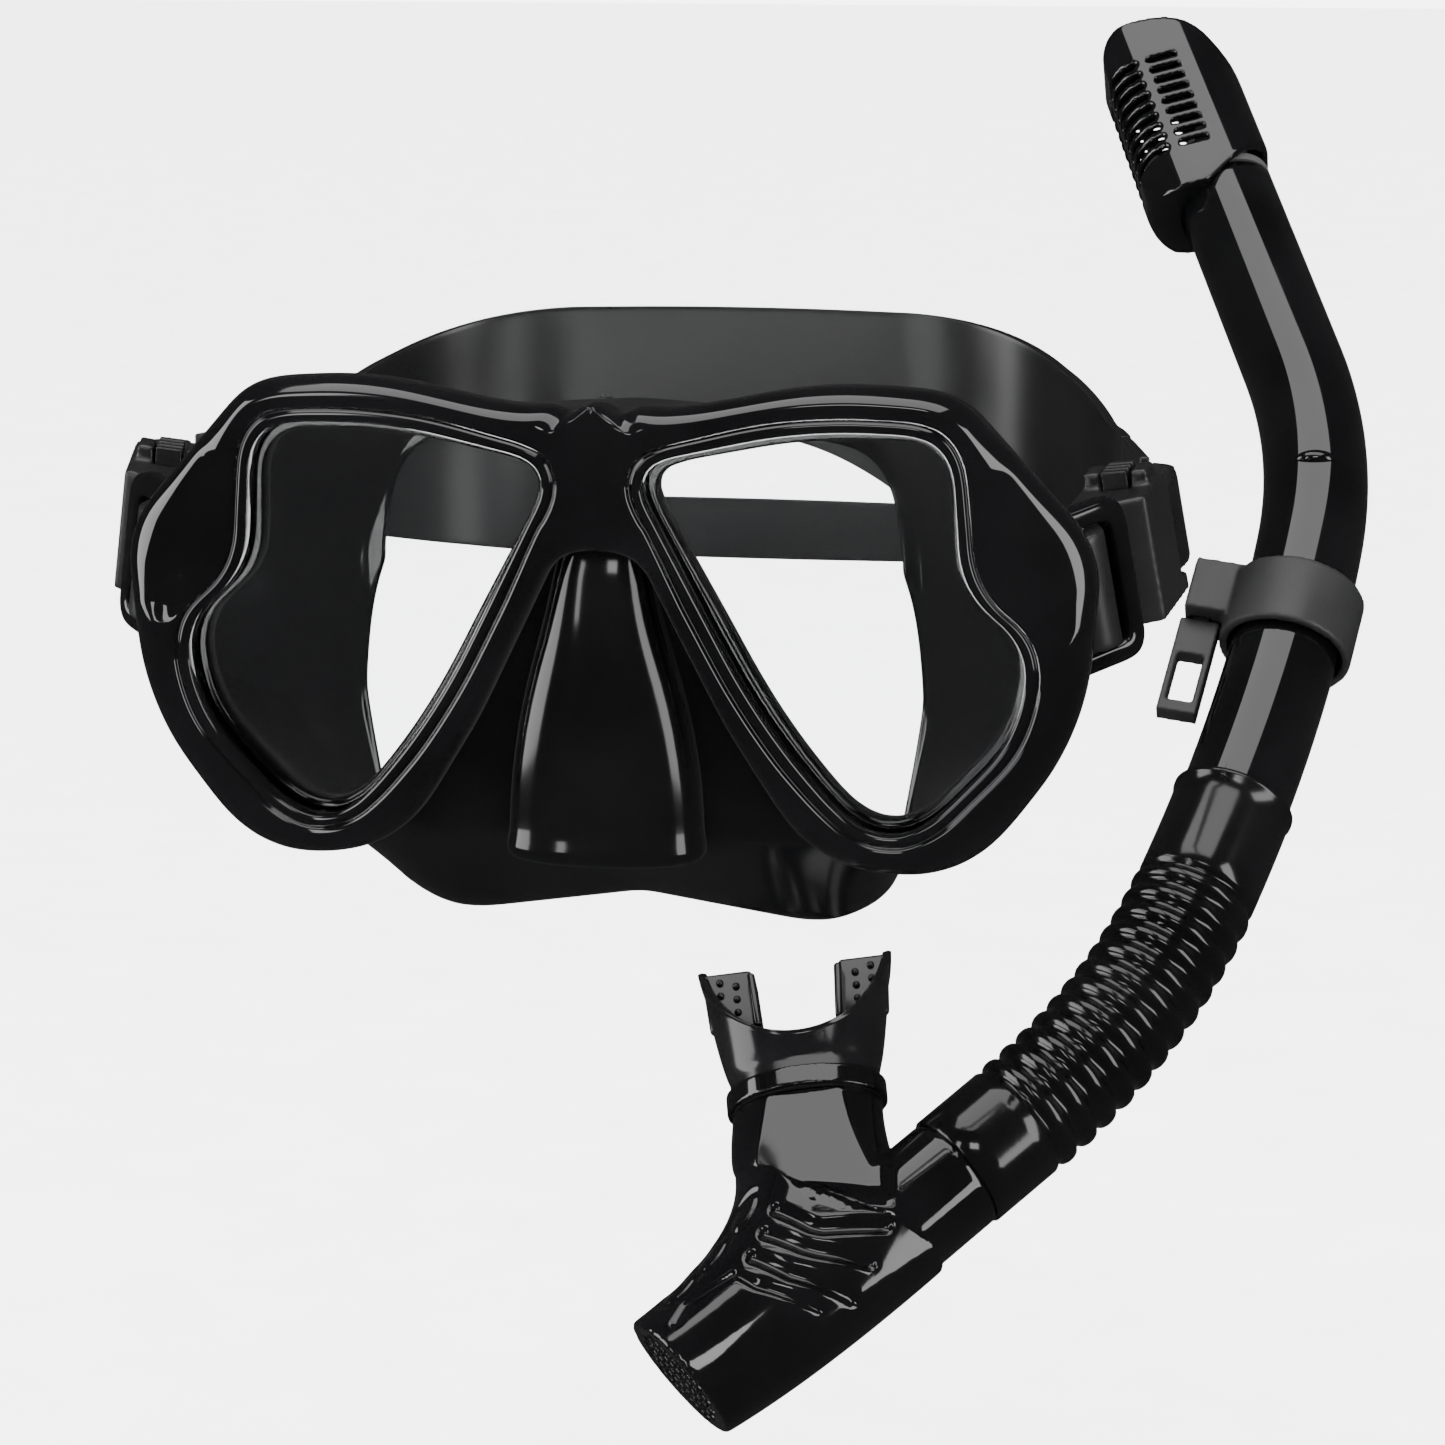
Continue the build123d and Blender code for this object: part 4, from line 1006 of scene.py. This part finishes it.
@dataclass
class Snorkel:
    """Rigid tube, ribbed hose, chamber, mouthpiece, keeper and dry top."""

    plane: SnorkelFrame = field(default_factory=SnorkelFrame)
    line: TubeLine = field(default_factory=TubeLine)
    hose_long: float = 62.86
    upper_cuff: float = 24.0
    lower_cuff: float = 17.0
    bend_margin: float = 4.0
    tube_foot: float = 11.5
    tube_head: float = 11.2
    tube_end: float = 256.0
    tube_lap: float = 6.1
    tube_wall: float = 1.6
    tube_rings: int = 90
    stop_at: float = 107.0
    stop_size: tuple[float, float, float] = (4.6, 1.7, 1.4)
    stop_seat: float = 11.0
    stop_curve: float = 11.4
    hose_groove: float = 11.7
    hose_sleeve: float = 12.5
    hose_bead: float = 12.9
    hose_tube_bore: float = 11.6
    hose_bore: float = 9.6
    rib_shape: tuple[tuple[float, float], ...] = (
        (0.12, 11.55), (0.22, 12.0), (0.3, 12.65), (0.42, 12.85),
        (0.58, 12.85), (0.7, 12.65), (0.78, 12.0), (0.88, 11.55),
    )
    ribs: int = 12
    around: int = 64
    waist: tuple[float, float, float] = (-81.5, -149.5, -111.0)
    wave_side: tuple[float, ...] = (-23.5, -19.0, -15.5, -9.0, -3.5, 3.0, 9.0, 14.0, 20.0, 23.5)
    wave_lift: tuple[float, ...] = (0.0, 2.5, 3.0, 0.0, -3.0, -3.5, -1.0, 1.5, 1.0, 0.0)
    wave_long: float = 9.0
    facing_least: float = 0.1
    oval: tuple[float, float] = (5.0, 2.1)
    oval_points: int = 28
    chevrons: list[list[tuple[float, float]]] = field(default_factory=lambda: [
        [(-91.8, -154.1), (-84.7, -157.6), (-82.5, -157.9), (-70.8, -155.6)],
        [(-93.4, -159.4), (-85.8, -162.2), (-83.5, -162.6), (-73.3, -163.0)],
        [(-95.3, -164.7), (-87.7, -167.9), (-85.4, -168.2), (-76.3, -169.8)],
    ])
    bosses: list[tuple[float, float, float]] = field(default_factory=lambda: [
        (-98.9, -153.8, 68.0), (-104.2, -162.6, 62.0), (-109.8, -170.0, 55.0),
    ])
    panel: list[list[tuple[float, float]]] = field(default_factory=lambda: [
        [(-109.1, -179.0), (-107.6, -175.0), (-98.4, -168.5), (-94.0, -171.0), (-82.0, -173.5)],
    ])
    flat_at: float = 8.6
    flat_share: float = 0.8
    neck_lean: float = 0.19
    neck_foot: float = -152.0
    neck_half: float = 17.0
    mouth_place: tuple[float, float] = (-90.7, -123.7)
    mouth_turn: float = 11.0
    mouth_top: float = 33.0
    mouth_waist: float = 6.0
    mouth_foot: float = -1.5
    scoop: float = 22.0
    shield: tuple[tuple[float, float], ...] = ((15.2, 4.6), (9.8, 2.7))
    shield_wall: float = 1.7
    shield_points: int = 96
    squareness: float = 0.94
    lug_blocks: tuple[tuple[tuple[float, ...], tuple[float, float]], ...] = (
        ((10.5, 14.0, 2.2), (13.2, 25.2)), ((1.6, 12.6, 7.6), (8.3, 23.6)),
    )
    lug_round: float = 0.42
    lug_bow: float = 0.005
    lug_bow_from: float = 18.0
    dot_first: tuple[float, float, float] = (15.6, 29.6, 1.2)
    dot_gap: tuple[float, float] = (3.3, 3.1)
    dot_drop: float = 1.2
    dot_radius: float = 0.8

    def ring(self, travel: float, radius: float) -> list[Vector]:
        """Ring of points square to the centre line."""
        u, v, heading = self.line.at(travel)
        side = (math.sin(math.radians(heading)), -math.cos(math.radians(heading)))
        points = []
        for k in range(self.around):
            turn = math.tau * k / self.around
            out, front = radius * math.cos(turn), radius * math.sin(turn)
            points.append(self.plane.point(u + side[0] * out, v + side[1] * out, front))
        return points

    def sleeve(self, name: str, profile: list[tuple[float, float]], finish: Finish) -> bpy.types.Object:
        """A round sleeve along the centre line.

        Args:
            name: Name of the piece.
            profile: Stations as (travel, radius); the list closes on itself.
            finish: Its finish.

        Returns:
            The piece.
        """
        return shown(lofted([self.ring(*station) for station in profile]), name, finish)

    def tube(self) -> bpy.types.Object:
        """The rigid tube with its thin wall."""
        foot = self.hose_long + self.tube_lap
        stations = list(np.linspace(foot, self.tube_end, self.tube_rings))
        slim = (self.tube_head - self.tube_foot) / (self.tube_end - foot)
        outer = [(s, self.tube_foot + slim * (s - foot)) for s in stations]
        inner = [(s, r - self.tube_wall) for s, r in reversed(outer)]
        return self.sleeve("rigid_tube", outer + inner, TUBE_BLACK)

    def stop(self) -> bpy.types.Object:
        """Small moulded stop on the front of the tube, above the keeper."""
        u, v, heading = self.line.at(self.hose_long + self.stop_at)
        side = Vector((math.sin(math.radians(heading)), -math.cos(math.radians(heading))))
        mesh = bmesh.new()
        made = bmesh.ops.create_uvsphere(mesh, u_segments=24, v_segments=12, radius=1.0)
        for vert in made["verts"]:
            out, up, front = (c * size for c, size in zip(vert.co, self.stop_size))
            turn = out / self.stop_curve
            radius = self.stop_seat + front
            spread = radius * math.sin(turn)
            vert.co = self.plane.point(
                u + side.x * spread - side.y * up, v + side.y * spread + side.x * up, radius * math.cos(turn)
            )
        return shown(mesh, "tube_stop", TUBE_BLACK)

    def hose(self) -> bpy.types.Object:
        """The ribbed hose with both cuffs, one moulding."""
        low, high = -self.lower_cuff, self.hose_long + self.upper_cuff
        top, sleeve, bead, snug = self.hose_long, self.hose_sleeve, self.hose_bead, self.hose_tube_bore
        outer = [(low, snug), (low, 12.1), (low + 0.4, sleeve)]
        outer += [(s, sleeve) for s in (-12.0, -8.0, -4.0, -1.2)]
        outer += [(-0.6, 12.2), (-0.2, self.hose_groove)]
        pitch = top / self.ribs
        for rib in range(self.ribs):
            outer += [((rib + share) * pitch, radius) for share, radius in self.rib_shape]
        outer += [(top + 0.2, self.hose_groove), (top + 0.6, 12.2), (top + 1.2, sleeve)]
        outer += [(top + s, sleeve) for s in np.linspace(4, self.upper_cuff - 1.6, 6)]
        outer += [(high - 1.2, bead), (high - 0.3, bead), (high, 12.6), (high, snug)]
        bore = self.hose_bore
        inner = [(top + 6.0, snug), (top + 6.0, bore), (top / 2, bore), (-1.5, bore), (-1.5, 11.5)]
        for a, b in zip(inner, inner[1:]):
            steps = max(1, int(abs(a[0] - b[0]) / 4))
            run, rise = b[0] - a[0], b[1] - a[1]
            outer += [(a[0] + run * k / steps, a[1] + rise * k / steps) for k in range(steps)]
        return self.sleeve("ribbed_hose", outer + [inner[-1]], HOSE_SILICONE)

    def cover(self) -> bpy.types.Object:
        """The purge cover with its ovals, chevrons and outline pressed in."""
        piece = softened(("purge_cover",), "purge_cover_shell", COVER_BLACK, 0.42, 4)
        self.wave(piece)
        places, normals = corners_of(piece)
        local = self.plane.local(places)[:, :2]
        front = np.array(tuple(self.plane.axes()[2]))
        ahead = normals @ front > self.facing_least
        engrave(piece, local, self.chevrons, 1.9, 1.3, -front, ahead)
        engrave(piece, local, self.ovals(), 1.1, 0.7, -front, ahead)
        relax(piece, 4)
        return piece

    def wave(self, piece: bpy.types.Object) -> None:
        """Bends the cover's upper edge into a wave on the side towards the front.

        Args:
            piece: The cover.
        """
        places, normals = corners_of(piece)
        right, up, front = (np.array(tuple(axis)) for axis in self.plane.axes())
        turn = math.radians(self.waist[2])
        along = np.array([math.cos(turn), math.sin(turn)])
        across = np.array([along[1], -along[0]])
        offset = self.plane.local(places)[:, :2] - np.array(self.waist[:2])
        lift = np.interp(offset @ across, self.wave_side, self.wave_lift)
        near = np.clip(1 - offset @ along / self.wave_long, 0, 1) ** 1.5
        near *= np.clip(normals @ front * 1.6, 0, 1)
        move(piece, places - np.outer(near * lift * MM, right * along[0] + up * along[1]))

    def ovals(self) -> list[list[tuple[float, float]]]:
        """Outlines of the oval bosses and the panel line on the cover."""
        lines = []
        for u, v, turn in self.bosses:
            a = math.radians(turn)
            oval = []
            for k in range(self.oval_points + 1):
                t = math.tau * k / self.oval_points
                x, y = self.oval[0] * math.cos(t), self.oval[1] * math.sin(t)
                oval.append((u + x * math.cos(a) - y * math.sin(a), v + x * math.sin(a) + y * math.cos(a)))
            lines.append(oval)
        return lines + self.panel

    def chamber(self) -> bpy.types.Object:
        """The chamber's body, its neck flattened towards the front."""
        piece = softened(("chamber_body",), "chamber_shell", TUBE_BLACK, 0.5, 4)
        places, _ = corners_of(piece)
        local = self.plane.local(places)
        across, up = local[:, 0] - self.mouth_place[0], local[:, 1] - self.mouth_place[1]
        beside = np.abs(across + up * self.neck_lean)
        above = np.clip((local[:, 1] - self.neck_foot) / 6.0, 0, 1)
        on_neck = above * np.clip((self.neck_half - beside) / 3.0, 0, 1)
        over = np.clip(local[:, 2] - self.flat_at, 0, None) * self.flat_share * on_neck
        move(piece, places - np.outer(over * MM, np.array(tuple(self.plane.axes()[2]))))
        relax(piece, 1)
        return piece

    def mouth_point(self, x: float, y: float, z: float) -> Vector:
        """Place in metres of a point of the mouthpiece's own frame."""
        turn = math.radians(self.mouth_turn)
        return self.plane.point(
            self.mouth_place[0] + x * math.cos(turn) - y * math.sin(turn),
            self.mouth_place[1] + x * math.sin(turn) + y * math.cos(turn), z,
        )

    def shield_ring(self, share: float, inset: float) -> list[Vector]:
        """One ring of the mouthpiece's flared shield.

        Args:
            share: How far up from the foot to the scooped rim.
            inset: Distance inside the outer face, in millimetres.

        Returns:
            The ring's points in metres.
        """
        points = []
        for k in range(self.shield_points):
            t = math.tau * k / self.shield_points
            top = self.mouth_top - self.scoop * abs(math.sin(t))
            y = self.mouth_foot + share * (top - self.mouth_foot)
            flare = max(0.0, (y - self.mouth_waist) / (self.mouth_top - self.mouth_waist)) ** 0.7
            half, deep = (size + more * flare - inset for size, more in self.shield)
            points.append(self.mouth_point(
                half * math.copysign(abs(math.cos(t)) ** self.squareness, math.cos(t)), y,
                deep * math.copysign(abs(math.sin(t)) ** self.squareness, math.sin(t)),
            ))
        return points

    def mouthpiece(self) -> bpy.types.Object:
        """Silicone mouthpiece: flared lip shield with two dotted bite lugs."""
        wall = self.shield_wall
        stations = [(0.0, 0.0)] + [(share, 0.0) for share in np.linspace(0.06, 0.97, 18)]
        stations += [(0.985, -0.35), (1.0, -0.3), (1.008, 0.5), (1.0, 1.5), (0.98, wall)]
        stations += [(share, wall) for share in np.linspace(0.93, 0.0, 16)]
        mesh = lofted([self.shield_ring(float(share), inset) for share, inset in stations])
        for hand in (1, -1):
            self.lug(mesh, hand)
        return shown(mesh, "mouthpiece_moulding", BITE_SILICONE)

    def lug(self, mesh: bmesh.types.BMesh, hand: int) -> None:
        """Adds one bite lug with its ridge and dots.

        Args:
            mesh: Mesh that takes the lug.
            hand: 1 or -1, the side of the mouthpiece.
        """
        for size, (across, up) in self.lug_blocks:
            block = bmesh.ops.create_cube(mesh, size=1.0)["verts"]
            bmesh.ops.scale(mesh, verts=block, vec=size)
            edges = list({e for v in block for e in v.link_edges})
            bevelled = bmesh.ops.bevel(
                mesh, geom=edges, offset=min(size) * self.lug_round, segments=4, affect="EDGES", profile=0.5,
                material=-1,
            )
            moved = {v for f in bevelled["faces"] for v in f.verts} | {v for v in block if v.is_valid}
            for vert in moved:
                x, y, z = vert.co
                bow = self.lug_bow * (y + up - self.lug_bow_from) ** 2
                vert.co = self.mouth_point(hand * (x + across + bow), y + up, z)
        first, top, rise = self.dot_first
        for column, row in ((0, 0), (0, 1), (0, 2), (0, 3), (1, 0), (1, 1), (1, 2)):
            across = first - self.dot_gap[0] * column
            up = top - self.dot_gap[1] * row - self.dot_drop * column
            for face in (1, -1):
                dot = bmesh.ops.create_uvsphere(mesh, u_segments=12, v_segments=8, radius=self.dot_radius)
                for vert in dot["verts"]:
                    x, y, z = vert.co
                    vert.co = self.mouth_point(hand * (x + across), y + up, z + face * rise)

    def build(self) -> None:
        """Builds every piece of the snorkel and settles all but the hose."""
        settle(self.tube(), "snorkel_tube", "tube_gloss", "upper_tube")
        settle(self.stop(), "snorkel_tube", "tube_gloss")
        hose = self.hose()
        low, high = self.line.at(self.bend_margin), self.line.at(self.hose_long - self.bend_margin)
        tuple(self.plane.point(low[0], low[1]))
        tuple(self.plane.point(high[0], high[1]))
        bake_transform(hose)
        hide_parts("flex_hose")
        settle(self.chamber(), "snorkel_chamber", "chamber_gloss", "chamber_body")
        settle(self.cover(), "snorkel_chamber", "cover_gloss", "purge_cover")
        settle(self.mouthpiece(), "snorkel_chamber", "mouthpiece_silicone", "mouthpiece")
        for node, name, finish, voxel, rounds, body, slot in (
            ("mouth_clamp", "mouth_clamp_band", PIANO_BLACK, 0.3, 3, "snorkel_chamber", "clamp_gloss"),
            ("dry_top_shroud", "dry_top_shell", TUBE_BLACK, 0.42, 5, "snorkel_tube", "dry_top_gloss"),
            ("keeper_ring", "keeper_moulding", KEEPER_MATTE, 0.42, 8, "keeper", "keeper_matte"),
            ("keeper_clip", "keeper_loop", KEEPER_MATTE, 0.3, 4, "clip", "keeper_matte"),
        ):
            settle(softened((node,), name, finish, voxel, rounds), body, slot, node)


# ---------------------------------------------------------------------------
# Studio and order of work
# ---------------------------------------------------------------------------
@dataclass
class Studio:
    """Pale floor, soft boxes and the camera."""

    eye: tuple[float, float, float] = (156.42, -814.39, 143.02)
    right: tuple[float, float, float] = (0.98537818, 0.17038148, 0.0)
    up: tuple[float, float, float] = (-0.03443471, 0.1991485, 0.97936414)
    back: tuple[float, float, float] = (0.16686551, -0.96504405, 0.20210362)
    lens: float = 108.37
    drop: float = 0.09
    floor_half: float = 6.0
    floor_back: float = 3.0
    backdrop: float = 6.0
    surround: float = 0.05

    def camera(self) -> None:
        """Makes the camera at the viewing angle of the set."""
        data = bpy.data.cameras.new("studio_camera")
        data.lens = self.lens
        data.sensor_width = 36.0
        data.clip_start, data.clip_end = 0.05, 20.0
        made = in_scene("studio_camera", data)
        turn = Matrix((self.right, self.up, self.back)).transposed().to_4x4()
        made.matrix_world = Matrix.Translation(Vector(self.eye) * MM) @ turn
        bpy.context.scene.camera = made

    def floor(self) -> None:
        """Makes the pale floor under the object."""
        mesh = bmesh.new()
        bmesh.ops.create_grid(mesh, x_segments=1, y_segments=1, size=self.floor_half)
        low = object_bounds()[0].z - self.drop
        bmesh.ops.translate(mesh, verts=mesh.verts, vec=(0, self.floor_back, low))
        finish = Finish(
            "pale_studio_floor", dark=(0.86, 0.86, 0.86), light=(0.9, 0.9, 0.9),
            smooth=0.7, rough=0.8, bump=0.0,
        )
        piece = shown(mesh, "studio_floor", finish, outward=False)
        piece.visible_glossy = False
        piece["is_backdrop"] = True

    def softbox(
        self, name: str, place: tuple[float, float, float], aim: tuple[float, float, float],
        size: tuple[float, float], power: float,
    ) -> None:
        """Adds one soft box.

        Args:
            name: Name of the light.
            place: Where it stands, in metres.
            aim: What it points at.
            size: Its width and height.
            power: Its power in watts.
        """
        data = bpy.data.lights.new(name, "AREA")
        data.shape = "RECTANGLE"
        data.size, data.size_y = size
        data.energy = power
        made = in_scene(name, data)
        made.location = place
        made.rotation_euler = (Vector(aim) - Vector(place)).to_track_quat("-Z", "Y").to_euler()

    def world(self) -> None:
        """White backdrop for the camera, dim surround for reflections."""
        world = bpy.data.worlds.new("studio_world")
        bpy.context.scene.world = world
        world.use_nodes = True
        nodes, links = world.node_tree.nodes, world.node_tree.links
        nodes.clear()
        out = nodes.new("ShaderNodeOutputWorld")
        mix = nodes.new("ShaderNodeMixShader")
        rays = nodes.new("ShaderNodeLightPath")
        bright, dim = (
            added(nodes, "ShaderNodeBackground", {"Color": (1, 1, 1, 1), "Strength": strength})
            for strength in (self.backdrop, self.surround)
        )
        links.new(rays.outputs["Is Glossy Ray"], mix.inputs["Fac"])
        links.new(bright.outputs["Background"], mix.inputs[1])
        links.new(dim.outputs["Background"], mix.inputs[2])
        links.new(mix.outputs["Shader"], out.inputs["Surface"])

    def build(self) -> None:
        """Sets up the studio."""
        self.camera()
        self.floor()
        self.world()
        self.softbox("top_box", (0.0, -0.15, 1.2), (0.05, 0.05, 0.0), (1.3, 0.8), 13.0)
        self.softbox("left_box", (-1.3, -0.35, 0.3), (0.0, 0.0, 0.0), (0.7, 1.1), 16.0)
        self.softbox("left_strip", (-0.75, -1.35, 0.5), (0.0, 0.0, 0.0), (0.22, 1.0), 5.0)
        self.softbox("right_box", (1.25, -0.65, 0.3), (0.05, 0.0, 0.0), (0.5, 1.1), 12.0)
        self.softbox("front_box", (0.15, -1.45, 0.95), (0.05, 0.0, 0.0), (0.5, 0.35), 5.0)


def dress(nodes: tuple[str, ...], finish: Finish) -> None:
    """Gives CAD nodes that stay a finished material.

    Args:
        nodes: Names of the nodes.
        finish: Their finish.
    """
    for node in nodes:
        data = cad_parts[node].data
        data.materials.clear()
        data.materials.append(finish.material())


def main() -> None:
    """Builds the set in order."""
    logging.basicConfig(level=logging.INFO, format="%(message)s")
    for part in (RimmedFrame(), Skirt(), HeadStrap(), Buckles(), Snorkel()):
        LOG.info("building %s", type(part).__name__)
        part.build()
    dress(("lens_left", "lens_right"), LENS_GLASS)
    dress(("lens_retainer_left", "lens_retainer_right", "purge_seat"), PIANO_BLACK)
    dress(("swivel_pin_left", "swivel_pin_right", "valve_pin"), PIN_STEEL)
    dress(("strap_roller_left", "strap_roller_right", "dry_float"), BUCKLE_MATTE)
    dress(("purge_flap", "valve_seat", "valve_flap"), VALVE_SILICONE)
    Studio().build()


if __name__ == "__main__":
    main()
